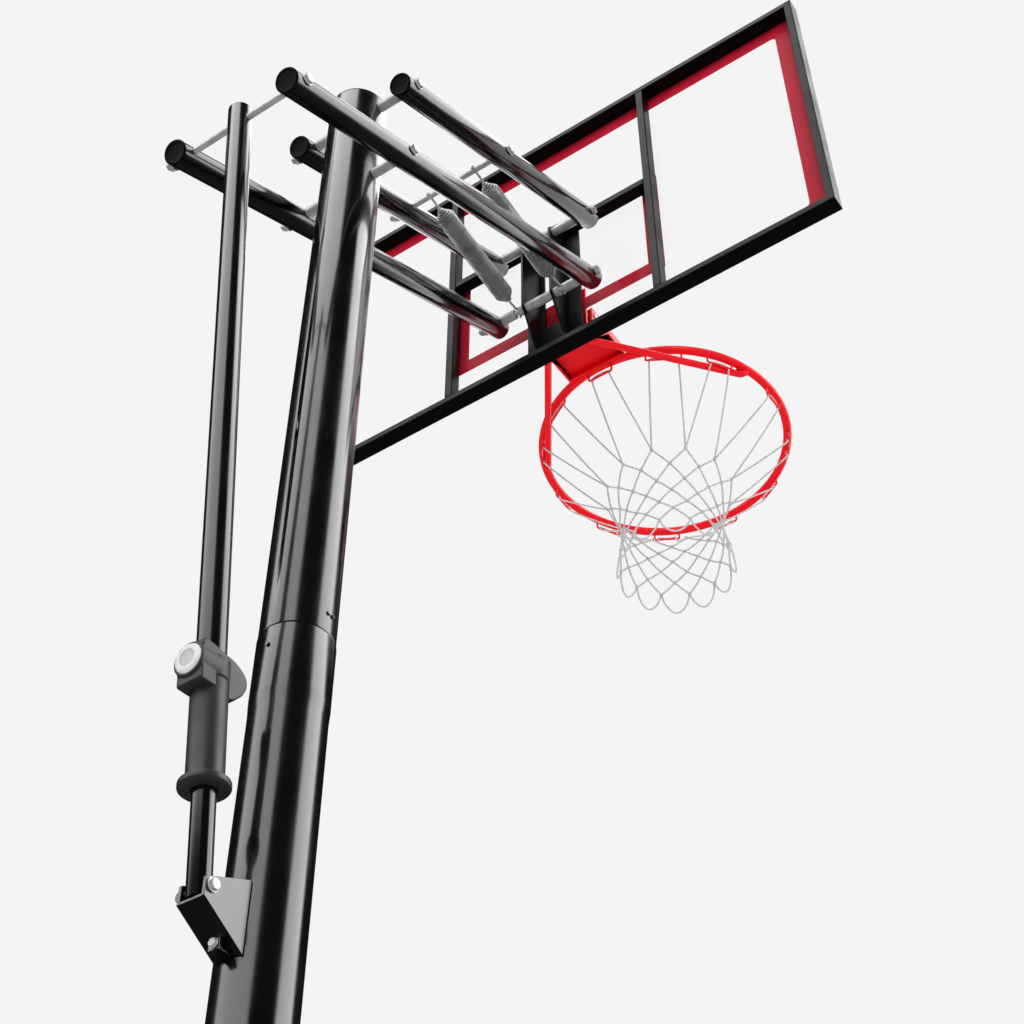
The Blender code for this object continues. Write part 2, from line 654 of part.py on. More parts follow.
def build_grip(lift_axis: bpy.types.Object) -> None:
    """Grip housing, hand sleeve, release button and its spring."""
    turn = (LIFT_TILT, 0.0, 0.0)
    facing_back = (LIFT_TILT + math.pi / 2, 0.0, 0.0)
    bore = OUTER_TUBE_RADIUS + GAP

    collar_top = COLLAR_BOTTOM + COLLAR_HEIGHT
    collar = [
        (bore + COLLAR_WALL, collar_top),
        (bore + COLLAR_WALL, COLLAR_BOTTOM),
        (OUTER_TUBE_WALL, COLLAR_BOTTOM),
        (OUTER_TUBE_WALL, collar_top),
    ]
    housing = turned_part("grip_housing", collar, LIFT_SEGMENTS, BLACK_PLASTIC, LIFT_FOOT, turn, lift_axis)
    radius = BUTTON_RADIUS + BARREL_WALL
    barrel_mesh = rod_mesh("barrel", radius, OUTER_TUBE_WALL, BARREL_REACH, LIFT_SEGMENTS, "Z")
    barrel = add_cutter("barrel", barrel_mesh, lift_point(0.0, BUTTON_HEIGHT), facing_back)
    hood_mesh = outline_mesh("hood", list(HOOD_OUTLINE), HOOD_WIDTH)
    hood = add_cutter("hood", hood_mesh, LIFT_FOOT, hood_turn())
    join(housing, barrel, hood)
    low = COLLAR_BOTTOM - BARREL_REACH
    high = collar_top + BARREL_REACH
    sleeve = SLEEVE_RADIUS + GAP
    profile = [(0.0, high), (bore, high), (bore, COLLAR_BOTTOM)]
    profile += [(sleeve, COLLAR_BOTTOM), (sleeve, low), (0.0, low)]
    bore_cutter = turned_cutter("housing_bore", profile, LIFT_SEGMENTS, LIFT_FOOT, turn)
    recess_mesh = rod_mesh("recess", BUTTON_RADIUS + GAP, RECESS_FLOOR, 2 * BARREL_REACH, LIFT_SEGMENTS, "Z")
    recess = add_cutter("recess", recess_mesh, lift_point(0.0, BUTTON_HEIGHT), facing_back)
    cut(housing, bore_cutter, recess)

    lip_top = FLANGE_BOTTOM + FLANGE_LIP - GAP
    slide = INNER_TUBE_RADIUS + GAP
    profile = [
        (SLEEVE_RADIUS, COLLAR_BOTTOM - GAP),
        (SLEEVE_RADIUS, FLANGE_TOP),
        (FLANGE_RADIUS, FLANGE_TOP - FLANGE_EDGE),
        (FLANGE_RADIUS, FLANGE_BOTTOM + FLANGE_EDGE),
        (FLANGE_RADIUS - FLANGE_EDGE, FLANGE_BOTTOM),
        (slide, FLANGE_BOTTOM),
        (slide, lip_top),
        (bore, lip_top),
        (bore, COLLAR_BOTTOM - GAP),
    ]
    turned_part("grip_sleeve", profile, LIFT_SEGMENTS, BLACK_PLASTIC, LIFT_FOOT, turn, lift_axis)

    face = BUTTON_THICKNESS
    profile = [
        (0.0, face),
        (BUTTON_RADIUS - BUTTON_EDGE, face),
        (BUTTON_RADIUS, face - BUTTON_EDGE),
        (BUTTON_RADIUS, 0.0),
        (0.0, 0.0),
    ]
    place = lift_point(BUTTON_REACH - BUTTON_THICKNESS, BUTTON_HEIGHT)
    button_axis = joint_axis("release_button_axis", place, LIFT_TILT)
    ride(button_axis, lift_axis)
    turned_part(
        "release_button", profile, LIFT_SEGMENTS, WHITE_PLASTIC, place, facing_back, button_axis, closed=False
    )
    coil_top = BUTTON_REACH - BUTTON_THICKNESS - GAP
    profile = tube_profile(BUTTON_SPRING_RADIUS, BUTTON_SPRING_WIRE, RECESS_FLOOR + GAP, coil_top)
    place = lift_point(0.0, BUTTON_HEIGHT)
    turned_part("release_spring", profile, HOLE_SEGMENTS, SPRING_STEEL, place, facing_back, lift_axis)


def hood_turn() -> tuple:
    """Turn that stands the hood's outline up along the lift, its first size facing the pole."""
    upright = Euler(SIDE_PLATE_TURN).to_matrix()
    return (Euler((LIFT_TILT, 0.0, 0.0)).to_matrix() @ upright).to_euler()


def build_lift(pin_hole: bpy.types.Object, foot_hole: bpy.types.Object) -> None:
    """Telescoping tubes of the height lift, with the grip on the outer one."""
    turn = (LIFT_TILT, 0.0, 0.0)
    lift_axis = joint_axis("lift_axis", LIFT_PIN, LIFT_TILT)
    slide_axis = joint_axis("lift_slide_axis", LIFT_FOOT, LIFT_TILT)
    ride(slide_axis, lift_axis)
    bottom = FLANGE_BOTTOM + FLANGE_LIP - LIFT_LENGTH
    profile = tube_profile(OUTER_TUBE_RADIUS, OUTER_TUBE_WALL, bottom, OUTER_TUBE_OVERHANG)
    outer = turned_part("lift_outer_tube", profile, LIFT_SEGMENTS, BLACK_STEEL, LIFT_PIN, turn, lift_axis)
    cut(outer, pin_hole)
    profile = tube_profile(
        INNER_TUBE_RADIUS, INNER_TUBE_WALL, -INNER_TUBE_OVERHANG, INNER_TUBE_LENGTH - INNER_TUBE_OVERHANG
    )
    inner = turned_part("lift_inner_tube", profile, LIFT_SEGMENTS, BLACK_STEEL, LIFT_FOOT, turn, slide_axis)
    cut(inner, foot_hole)
    build_grip(lift_axis)


def build_lift_bracket(foot_hole: bpy.types.Object, bolt_hole: bpy.types.Object) -> None:
    """Folded bracket on the rear of the pole, its bolt, and the two stubs that hold the lift's foot."""
    inner = INNER_TUBE_RADIUS + EAR_CLEARANCE
    outer = inner + EAR_THICKNESS
    pole_side = -math.sqrt(POLE_RADIUS**2 - inner**2) - GAP
    rear = LIFT_FOOT.y - EAR_REAR
    web_top = LIFT_FOOT.z - WEB_TOP_DROP
    web_foot = LIFT_FOOT.z - WEB_FOOT_DROP
    outline = [
        (pole_side, LIFT_FOOT.z + EAR_TOP),
        (rear, LIFT_FOOT.z + EAR_REAR_TOP),
        (rear, web_top),
        (pole_side, web_foot),
    ]
    ears = [
        outline_mesh(f"lift_bracket_ear_{side}", outline, EAR_THICKNESS) for side in ("left", "right")
    ]
    middle = inner + EAR_THICKNESS / 2
    bracket = add_part("lift_bracket", ears[0], BLACK_STEEL, (-middle, 0.0, 0.0), SIDE_PLATE_TURN)
    ear = add_cutter("bracket_ear", ears[1], (middle, 0.0, 0.0), SIDE_PLATE_TURN)
    web_front = pole_side - POLE_RADIUS + math.sqrt(POLE_RADIUS**2 - inner**2)
    slope = (web_top - web_foot) / (web_front - rear)
    foot = web_foot + (web_front - pole_side) * -slope + WEB_INSET
    thickness = WEB_THICKNESS * math.hypot(1.0, slope)
    outline = [
        (rear + WEB_INSET, web_top),
        (web_front, foot),
        (web_front, foot + thickness),
        (rear + WEB_INSET, web_top + thickness / 2),
    ]
    web = add_cutter("bracket_web", outline_mesh("bracket_web", outline, 2 * middle), turn=SIDE_PLATE_TURN)
    boss_z = LIFT_FOOT.z - BOSS_DROP
    boss_back = -POLE_RADIUS - BOSS_BEHIND_POLE
    low = Vector((-BOSS_HALF, boss_back, boss_z - BOSS_HALF))
    high = Vector((BOSS_HALF, boss_back + BOSS_DEPTH, boss_z + BOSS_HALF))
    boss = add_cutter("bracket_boss", box_mesh("bracket_boss", low, high))
    join(bracket, ear, web, boss)
    cut(bracket, foot_hole, bolt_hole)

    face = -(boss_back - GAP)
    place = (0.0, 0.0, boss_z)
    bolt = hex_bolt(
        "bracket_bolt",
        place,
        face,
        POLE_RADIUS - BRACKET_BOLT_INSIDE,
        radius=BRACKET_BOLT_RADIUS,
        hexagon=BRACKET_BOLT_HEX,
        head=BRACKET_BOLT_HEAD,
    )
    bolt.rotation_euler = (0.0, 0.0, -math.pi / 2)
    bpy.data.objects["bracket_bolt_shank"].rotation_euler = (0.0, 0.0, -math.pi / 2)
    hex_bolt("lift_foot_bolt", LIFT_FOOT, outer + GAP, inner)
    hex_bolt("lift_foot_nut", LIFT_FOOT, -outer - GAP, -inner)


def bracket_bolt_hole() -> bpy.types.Object:
    """Make the hole for the bracket's bolt through its web and the pole's rear wall."""
    reach = -POLE_RADIUS - 2 * BOSS_BEHIND_POLE
    radius = BRACKET_BOLT_RADIUS + GAP
    mesh = rod_mesh("bracket_bolt_hole", radius, reach, -POLE_RADIUS / 2, HOLE_SEGMENTS, "Y")
    return add_cutter("bracket_bolt_hole", mesh, (0.0, 0.0, LIFT_FOOT.z - BOSS_DROP))


def hook_points(radius: float, side: int) -> list:
    """Centre line of a spring hook over a rod at the origin, its lead on the given side along Z."""
    points = [(0.0, 0.0, side * (SPRING_END + HOOK_TAIL)), (0.0, 0.0, side * HOOK_LEAD)]
    for step in range(HOOK_STEPS + 1):
        angle = math.radians(HOOK_START + (HOOK_END - HOOK_START) * step / HOOK_STEPS)
        points.append((0.0, -radius * math.sin(angle), side * radius * math.cos(angle)))
    return points


def build_springs() -> None:
    """Two counterbalance springs from the upper arms' cross bolt to the front lower one."""
    turn = (SPRING_TURN, 0.0, 0.0)
    foot_hole = HOOK_WIRE + 2 * GAP
    neck = 0.7 * HOOK_WIRE
    low = SPRING_END
    high = SPRING_LENGTH - SPRING_END
    bore = SPRING_RADIUS - SPRING_WIRE
    profile = [
        (foot_hole + SPRING_WIRE, high),
        (SPRING_RADIUS, high - SPRING_CONE),
        (SPRING_RADIUS, low + SPRING_CONE),
        (neck + SPRING_WIRE, low),
        (neck, low),
        (bore, low + SPRING_CONE),
        (bore, high - SPRING_CONE),
        (foot_hole, high),
    ]
    for side, sign in (("left", -1), ("right", 1)):
        across = Vector((sign * SPRING_SIDE, 0.0, 0.0))
        anchor = SPRING_ANCHOR + across
        foot = FRONT_LOWER + across
        swing = joint_axis(f"spring_{side}_axis", anchor, SPRING_TURN)
        stretch = joint_axis(f"spring_{side}_foot_axis", foot, SPRING_TURN)
        ride(stretch, swing)
        coil = turned_part(f"spring_{side}", profile, SPRING_SEGMENTS, SPRING_STEEL, anchor, turn, swing)
        name = f"spring_{side}_top_hook"
        points = hook_points(BOLT_HOLE + HOOK_WIRE + GAP, 1)
        join(coil, add_cutter(name, welded_mesh(name, wire_curve(name, points, HOOK_WIRE)), anchor, turn))
        name = f"spring_foot_hook_{side}"
        points = hook_points(BOLT_RADIUS + HOOK_SLACK + HOOK_WIRE, -1)
        add_part(name, wire_curve(name, points, HOOK_WIRE), ZINC, foot, turn, stretch)


def rail_mesh(name: str, length: float) -> bpy.types.Mesh:
    """Make one rail of the board's frame along X, its outer edge at Z 0 and its ends mitred."""
    slot_front = BOARD_FACE + GAP
    slot_back = PANEL_BACK - GAP
    floor = RAIL_WIDTH - GROOVE_DEPTH
    section = [
        (RAIL_BACK, 0.0),
        (RAIL_FRONT, 0.0),
        (RAIL_FRONT, RAIL_WIDTH),
        (slot_front, RAIL_WIDTH),
        (slot_front, floor),
        (slot_back, floor),
        (slot_back, RAIL_WIDTH),
        (RAIL_BACK, RAIL_WIDTH),
    ]
    end = length / 2 - FLAT_GAP
    bm = bmesh.new()
    face = bm.faces.new([bm.verts.new((inward - end, depth, inward)) for depth, inward in section])
    far_end = bmesh.ops.extrude_face_region(bm, geom=[face])["geom"]
    for vert in far_end:
        if isinstance(vert, bmesh.types.BMVert):
            vert.co.x = -vert.co.x
    return mesh_from(bm, name)


def bracket_outline() -> list:
    """Side outline of the board's bracket in YZ, notched for the cross bar and the bottom rail."""
    rail_top = BOARD_BOTTOM + RAIL_WIDTH + GAP
    return [
        (BAR_FRONT, rail_top),
        (BAR_FRONT, CROSS_BAR_BOTTOM - GAP),
        (BAR_BACK - GAP, CROSS_BAR_BOTTOM - GAP),
        (BAR_BACK - GAP, FRONT_UPPER_Z + BRACKET_TOP_ABOVE_PIVOT),
        *arc(FRONT_UPPER, BRACKET_EAR, 120, 180, 4),
        *arc(FRONT_LOWER, BRACKET_EAR, 180, 240, 4),
        (RAIL_BACK - GAP, FRONT_PIVOT_Z - BRACKET_FOOT_BELOW_PIVOT),
        (RAIL_BACK - GAP, rail_top),
    ]


def build_board(holes: dict) -> bpy.types.Object:
    """Panel, frame and bracket of the board, on the front pivots."""
    axis = joint_axis("board_axis", FRONT_LOWER)
    side_x = BRACKET_SIDE + BRACKET_PLATE / 2
    left = outline_mesh("board_bracket", bracket_outline(), BRACKET_PLATE)
    right = outline_mesh("bracket_side", bracket_outline(), BRACKET_PLATE)
    bracket = add_part("board_bracket", left, BLACK_STEEL, (-side_x, 0.0, 0.0), SIDE_PLATE_TURN, axis)
    other = add_cutter("bracket_side", right, (side_x, 0.0, 0.0), SIDE_PLATE_TURN)
    flange_x = side_x + BRACKET_FLANGE
    low = Vector((-flange_x, BAR_FRONT - BRACKET_PLATE, BOARD_BOTTOM + RAIL_WIDTH + 2 * GAP))
    high = Vector((flange_x, BAR_FRONT - FLAT_GAP, CROSS_BAR_BOTTOM - 2 * GAP))
    join(bracket, other, add_cutter("bracket_back", box_mesh("bracket_back", low, high)))
    low = Vector((-BRACKET_WINDOW_SIDE, low.y - BRACKET_PLATE, FRONT_PIVOT_Z - BRACKET_WINDOW_BELOW))
    high = Vector((BRACKET_WINDOW_SIDE, high.y + BRACKET_PLATE, FRONT_PIVOT_Z + BRACKET_WINDOW_ABOVE))
    window = add_cutter("bracket_window", box_mesh("bracket_window", low, high))
    cut(bracket, window, holes["front_lower"], holes["front_upper"])
    for level, pivot in (("lower", FRONT_LOWER), ("upper", FRONT_UPPER)):
        face = ARM_OUTER + GAP
        hex_bolt(f"front_{level}_bolt", pivot, face, -face - NUT_HEIGHT - THREAD_OVERHANG, axis)
        hex_nut(f"front_{level}_nut", pivot, -face, holes[f"front_{level}"], axis)

    edge = RAIL_WIDTH - PANEL_INSET
    low = Vector((edge - BOARD_WIDTH / 2, PANEL_BACK, BOARD_BOTTOM + edge))
    high = Vector((BOARD_WIDTH / 2 - edge, BOARD_FACE, BOARD_TOP - edge))
    add_part("backboard_panel", box_mesh("backboard_panel", low, high), CLEAR_SHEET, axis=axis)

    middle_z = (BOARD_BOTTOM + BOARD_TOP) / 2
    rails = (
        ("bottom", BOARD_WIDTH, (0.0, 0.0, BOARD_BOTTOM), 0.0),
        ("top", BOARD_WIDTH, (0.0, 0.0, BOARD_TOP), math.pi),
        ("left", BOARD_HEIGHT, (-BOARD_WIDTH / 2, 0.0, middle_z), math.pi / 2),
        ("right", BOARD_HEIGHT, (BOARD_WIDTH / 2, 0.0, middle_z), -math.pi / 2),
    )
    for side, length, place, turn in rails:
        name = f"frame_{side}"
        add_part(name, rail_mesh(name, length), BLACK_STEEL, place, (0.0, turn, 0.0), axis)

    bar_low = BOARD_BOTTOM + RAIL_WIDTH + GAP
    bar_high = BOARD_TOP - RAIL_WIDTH - GAP
    for side, sign in (("left", -1), ("right", 1)):
        ends = sorted((sign * BAR_INNER, sign * (BAR_INNER + BAR_WIDTH)))
        low = Vector((ends[0], BAR_BACK, bar_low))
        high = Vector((ends[1], BAR_FRONT, bar_high))
        add_part(f"upright_bar_{side}", box_mesh("upright_bar", low, high), BLACK_STEEL, axis=axis)
    low = Vector((GAP - BAR_INNER, BAR_BACK, CROSS_BAR_BOTTOM))
    high = Vector((BAR_INNER - GAP, BAR_FRONT, CROSS_BAR_BOTTOM + CROSS_BAR_HEIGHT))
    add_part("cross_bar", box_mesh("cross_bar", low, high), BLACK_STEEL, axis=axis)
    return axis


def build_rim_mount(pin_hole: bpy.types.Object, board_axis: bpy.types.Object) -> None:
    """Plate on the board's face with the two ears of the rim's hinge."""
    back = BOARD_FACE + GAP
    front = back + MOUNT_PLATE_THICKNESS
    low = Vector((-MOUNT_PLATE_WIDTH / 2, back, BOARD_BOTTOM + RAIL_WIDTH + GAP))
    high = Vector((MOUNT_PLATE_WIDTH / 2, front, RIM_HEIGHT + MOUNT_PLATE_TOP_ABOVE_RIM))
    plate = add_part("rim_mount_plate", box_mesh("rim_mount_plate", low, high), RED_STEEL, axis=board_axis)
    root = front - MOUNT_PLATE_THICKNESS / 2
    outline = [
        (root, RIM_PIN.z - MOUNT_EAR_RADIUS),
        *arc(RIM_PIN, MOUNT_EAR_RADIUS, -90, 90, 8),
        (root, RIM_PIN.z + MOUNT_EAR_RADIUS),
    ]
    for side, sign in (("left", -1), ("right", 1)):
        name = f"mount_ear_{side}"
        middle = sign * (MOUNT_EAR_SIDE + MOUNT_PLATE_THICKNESS / 2)
        mesh = outline_mesh(name, outline, MOUNT_PLATE_THICKNESS)
        join(plate, add_cutter(name, mesh, (middle, 0.0, 0.0), SIDE_PLATE_TURN))
    cut(plate, pin_hole)


def build_housing(pin_hole: bpy.types.Object, axis: bpy.types.Object) -> None:
    """Folded housing that carries the ring and tips on the hinge pin."""
    top = RIM_HEIGHT - HOUSING_DROP
    ring_back = RING_Y - RING_RADIUS - RING_ROD_RADIUS
    front = ring_back - GAP
    rear = BOARD_FACE + RIM_PIN_FROM_FACE - HOUSING_FOOT_FRONT
    foot = RIM_HEIGHT - HOUSING_FOOT_DROP
    outline = [
        (rear, top),
        (rear, foot),
        (rear + HOUSING_FOOT_FRONT, foot),
        (rear + HOUSING_CHIN, top - HOUSING_TOP_DEPTH),
        (front, top - HOUSING_TOP_DEPTH),
        (front, top),
    ]
    middle = HOUSING_SIDE - HOUSING_PLATE / 2
    left = outline_mesh("rim_housing", outline, HOUSING_PLATE)
    right = outline_mesh("housing_side", outline, HOUSING_PLATE)
    housing = add_part("rim_housing", left, RED_STEEL, (-middle, 0.0, 0.0), SIDE_PLATE_TURN, axis)
    side = add_cutter("housing_side", right, (middle, 0.0, 0.0), SIDE_PLATE_TURN)
    webs = (
        ("housing_top", (rear + GAP, top - HOUSING_PLATE), (front - GAP, top - FLAT_GAP)),
        ("housing_front", (front - HOUSING_PLATE, top - HOUSING_TOP_DEPTH + GAP), (front - GAP, top - GAP)),
        ("housing_foot", (rear + GAP, foot + GAP), (rear + HOUSING_PLATE, foot + HOUSING_FOOT_HEIGHT)),
    )
    join(housing, side)
    for name, (low_y, low_z), (high_y, high_z) in webs:
        mesh = box_mesh(name, Vector((-middle, low_y, low_z)), Vector((middle, high_y, high_z)))
        join(housing, add_cutter(name, mesh))
    cut(housing, pin_hole)


def build_rim(board_axis: bpy.types.Object) -> None:
    """Breakaway rim: housing, ring with net hooks, braces, hinge pin, springs and net."""
    rim_axis = joint_axis("rim_axis", RIM_PIN)
    ride(rim_axis, board_axis)
    reach = HOUSING_SIDE + RIM_PIN_HEAD
    pin_hole_mesh = rod_mesh("rim_pin_hole", RIM_PIN_RADIUS + GAP, -reach, reach, HOLE_SEGMENTS)
    pin_hole = add_cutter("rim_pin_hole", pin_hole_mesh, RIM_PIN)
    build_rim_mount(pin_hole, board_axis)
    build_housing(pin_hole, rim_axis)

    shoulder = HOUSING_SIDE + GAP
    end = shoulder + RIM_PIN_HEAD_HEIGHT
    profile = [
        (0.0, end),
        (RIM_PIN_HEAD, end),
        (RIM_PIN_HEAD, shoulder),
        (RIM_PIN_RADIUS, shoulder),
        (RIM_PIN_RADIUS, -shoulder),
        (RIM_PIN_HEAD, -shoulder),
        (RIM_PIN_HEAD, -end),
        (0.0, -end),
    ]
    turn = (0.0, math.pi / 2, 0.0)
    turned_part("rim_hinge_pin", profile, BOLT_SEGMENTS, ZINC, RIM_PIN, turn, rim_axis, closed=False)

    build_ring(rim_axis)
    spring_back = BOARD_FACE + GAP + MOUNT_PLATE_THICKNESS + GAP
    spring_front = BOARD_FACE + RIM_PIN_FROM_FACE - HOUSING_FOOT_FRONT
    spring_z = RIM_HEIGHT - HOUSING_FOOT_DROP + HOUSING_FOOT_HEIGHT / 2
    profile = tube_profile(RIM_SPRING_RADIUS, RIM_SPRING_WIRE, GAP, spring_front - spring_back)
    for side, sign in (("left", -1), ("right", 1)):
        place = (sign * RIM_SPRING_SIDE, spring_back - GAP, spring_z)
        turn = (-math.pi / 2, 0.0, 0.0)
        turned_part(f"rim_spring_{side}", profile, HOLE_SEGMENTS, SPRING_STEEL, place, turn, rim_axis)


def net_hook_points(turns: tuple, foot: float) -> list:
    """Centre line of one wide wire hook under the ring, with both its ends in the ring's rod."""
    legs = [
        Vector((RING_RADIUS * math.sin(angle), -RING_RADIUS * math.cos(angle), 0.0))
        for angle in map(math.radians, turns)
    ]
    inward = (legs[1] - legs[0]).normalized() * HOOK_CORNER
    low = Vector((0.0, 0.0, foot))
    high = Vector((0.0, 0.0, foot + HOOK_CORNER))
    return [
        legs[0],
        legs[0] + high,
        legs[0] + inward + low,
        legs[1] - inward + low,
        legs[1] + high,
        legs[1],
    ]


def build_ring(axis: bpy.types.Object) -> None:
    """Ring with the hooks under it, its two braces, and the net."""
    place = Vector((0.0, RING_Y, RING_Z))
    angles = [math.pi / 2 - 2 * math.pi * step / RING_ROD_SEGMENTS for step in range(RING_ROD_SEGMENTS)]
    profile = [
        (RING_RADIUS + RING_ROD_RADIUS * math.cos(angle), RING_ROD_RADIUS * math.sin(angle))
        for angle in angles
    ]
    ring = turned_part("rim_ring", profile, RING_SEGMENTS, RED_STEEL, place, axis=axis)
    hooks_bottom = -RING_ROD_RADIUS - HOOK_DROP
    other_side = tuple((-second, -first) for first, second in SIDE_HOOKS)
    for number, turns in enumerate(MIDDLE_HOOKS + SIDE_HOOKS + other_side, start=1):
        name = f"net_hook_{number}"
        points = net_hook_points(turns, hooks_bottom + HOOK_RADIUS)
        join(ring, add_cutter(name, welded_mesh(name, wire_curve(name, points, HOOK_RADIUS, 1)), place))

    foot_front = BOARD_FACE + RIM_PIN_FROM_FACE - HOUSING_FOOT_FRONT + HOUSING_PLATE + GAP
    start = Vector((BRACE_FOOT_SIDE, foot_front, RIM_HEIGHT - HOUSING_FOOT_DROP + BRACE_FOOT_HEIGHT))
    apart = RING_ROD_RADIUS + BRACE_RADIUS + 2 * GAP
    end_radius = RING_RADIUS - BRACE_END_INSET
    end_x = end_radius * math.sin(BRACE_END_TURN)
    end_y = RING_Y - end_radius * math.cos(BRACE_END_TURN)
    end = Vector((end_x, end_y, RING_Z - math.sqrt(apart**2 - BRACE_END_INSET**2)))
    leave = (end - start).normalized()
    start.y += BRACE_RADIUS * math.hypot(leave.x, leave.z)
    points = [start, start.lerp(end, 0.5), end]
    notches = []
    for side, sign in (("left", -1), ("right", 1)):
        name = f"rim_brace_{side}"
        path = [(sign * point.x, point.y, point.z) for point in points]
        add_part(name, wire_curve(name, path, BRACE_RADIUS), RED_STEEL, axis=axis)
        name = f"net_notch_{side}"
        notches.append(add_cutter(name, welded_mesh(name, wire_curve(name, path, BRACE_RADIUS + FLAT_GAP))))

    net_top = hooks_bottom - GAP
    outer = RING_RADIUS + NET_THICKNESS / 2
    outside = [(outer - inset, net_top - drop) for inset, drop in NET_OUTLINE]
    inside = [(outer - inset - NET_THICKNESS, net_top - drop) for inset, drop in reversed(NET_OUTLINE)]
    net = turned_part("net", outside + inside, NET_SEGMENTS, NET_CORD, place, axis=axis)
    cut(net, *notches)


def main() -> None:
    """Build the whole hoop."""
    holes = build_arms()
    foot_hole = rod_hole("lift_foot_hole", LIFT_FOOT)
    bolt_hole = bracket_bolt_hole()
    build_pole(holes["upper"], holes["lower"], bolt_hole)
    build_lift_bracket(foot_hole, bolt_hole)
    build_lift(holes["lift_pin"], foot_hole)
    build_springs()
    board_axis = build_board(holes)
    build_rim(board_axis)


main()
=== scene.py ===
"""Looks of an in-ground basketball hoop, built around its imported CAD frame."""

import logging
import math
import random
from dataclasses import dataclass, field
from enum import Enum
from typing import Iterable, Optional, Sequence

import bmesh
import bpy
from bpy.types import Material, Mesh, Node, NodeSocket, Object
from mathutils import Matrix, Vector


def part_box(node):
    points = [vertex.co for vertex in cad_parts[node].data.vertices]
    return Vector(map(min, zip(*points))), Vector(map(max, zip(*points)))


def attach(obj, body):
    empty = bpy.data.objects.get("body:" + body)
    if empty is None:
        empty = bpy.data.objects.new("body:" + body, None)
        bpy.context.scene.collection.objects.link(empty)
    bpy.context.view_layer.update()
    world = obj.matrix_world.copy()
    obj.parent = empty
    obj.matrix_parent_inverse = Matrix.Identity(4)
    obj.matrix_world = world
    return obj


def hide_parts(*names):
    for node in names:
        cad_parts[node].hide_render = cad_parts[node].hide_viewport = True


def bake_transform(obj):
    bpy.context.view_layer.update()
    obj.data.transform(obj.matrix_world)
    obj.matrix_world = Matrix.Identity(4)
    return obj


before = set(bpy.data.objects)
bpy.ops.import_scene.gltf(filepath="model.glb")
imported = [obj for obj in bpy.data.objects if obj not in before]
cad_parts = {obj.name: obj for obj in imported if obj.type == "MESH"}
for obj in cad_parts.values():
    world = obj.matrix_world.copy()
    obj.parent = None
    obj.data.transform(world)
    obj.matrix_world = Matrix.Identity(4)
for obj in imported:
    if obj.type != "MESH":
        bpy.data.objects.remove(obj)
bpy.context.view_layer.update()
log = logging.getLogger("hoop")

Point = Sequence[float]
Outline = list[tuple[float, float]]
X_AXIS, Y_AXIS, Z_AXIS = Vector((1, 0, 0)), Vector((0, 1, 0)), Vector((0, 0, 1))
# Turns an outline of (depth, height) so that it faces along X
SIDE_ON = Matrix(((0, 0, 1, 0), (1, 0, 0, 0), (0, 1, 0, 0), (0, 0, 0, 1)))
# Clearance between parts that are made apart
GAP = 0.0003


class Body(str, Enum):
    """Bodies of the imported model."""

    POLE = "pole"
    LOWER_ARMS = "lower_arms"
    UPPER_ARMS = "upper_arms"
    BOARD = "board"
    RIM = "rim"
    LIFT_OUTER = "lift_outer"
    LIFT_INNER = "lift_inner"
    BUTTON = "release_button"
    SPRING_LEFT = "spring_left"
    SPRING_LEFT_FOOT = "spring_left_foot"
    SPRING_RIGHT = "spring_right"
    SPRING_RIGHT_FOOT = "spring_right_foot"


class Slot(str, Enum):
    """Material slots of the record."""

    BLACK_PAINT = "black_paint"
    BLACK_PLASTIC = "black_plastic"
    FRAME_MOULDING = "frame_moulding"
    WHITE_PLASTIC = "white_plastic"
    ZINC = "zinc_steel"
    SPRING = "spring_steel"
    RED_PAINT = "red_paint"
    CORD = "net_cord"
    CLEAR = "clear_panel"


class Side(Enum):
    """The two sides of the hoop, with the sign of their X."""

    LEFT = -1
    RIGHT = 1

    @property
    def word(self) -> str:
        """The side's name in lower case."""
        return self.name.lower()


@dataclass(frozen=True)
class Pivots:
    """Places of the hoop's pivots, in metres."""

    lower: Vector = Vector((0.0, 0.0, 2.739929))
    upper: Vector = Vector((0.0, 0.0, 2.924929))
    front_lower: Vector = Vector((0.0, 0.521124, 3.025))
    front_upper: Vector = Vector((0.0, 0.521124, 3.210))
    lift_pin: Vector = Vector((0.0, -0.232488, 2.612751))
    anchor: Vector = Vector((0.0, 0.250034, 3.061706))
    lift_foot: Vector = Vector((0.0, -0.09445, 1.445429))
    ring: Vector = Vector((0.0, 0.958024, 3.040))
    rim_pin: Vector = Vector((0.0, 0.612024, 3.030))


PIVOTS = Pivots()
# The raised arms: their slope, how far each is from the middle, and their outer radius
ARM_RISE = math.radians(28.68)
ARM_SIDE = 0.100
ARM_RADIUS = 0.01905
# The clear panel's front face, and the pole's and a pivot bolt's outer radius
BOARD_FACE = 0.577024
POLE_RADIUS = 0.04445
BOLT_RADIUS = 0.00476
# Radius below which a turned profile's point lies on its axis
POLE_POINT = 1e-7


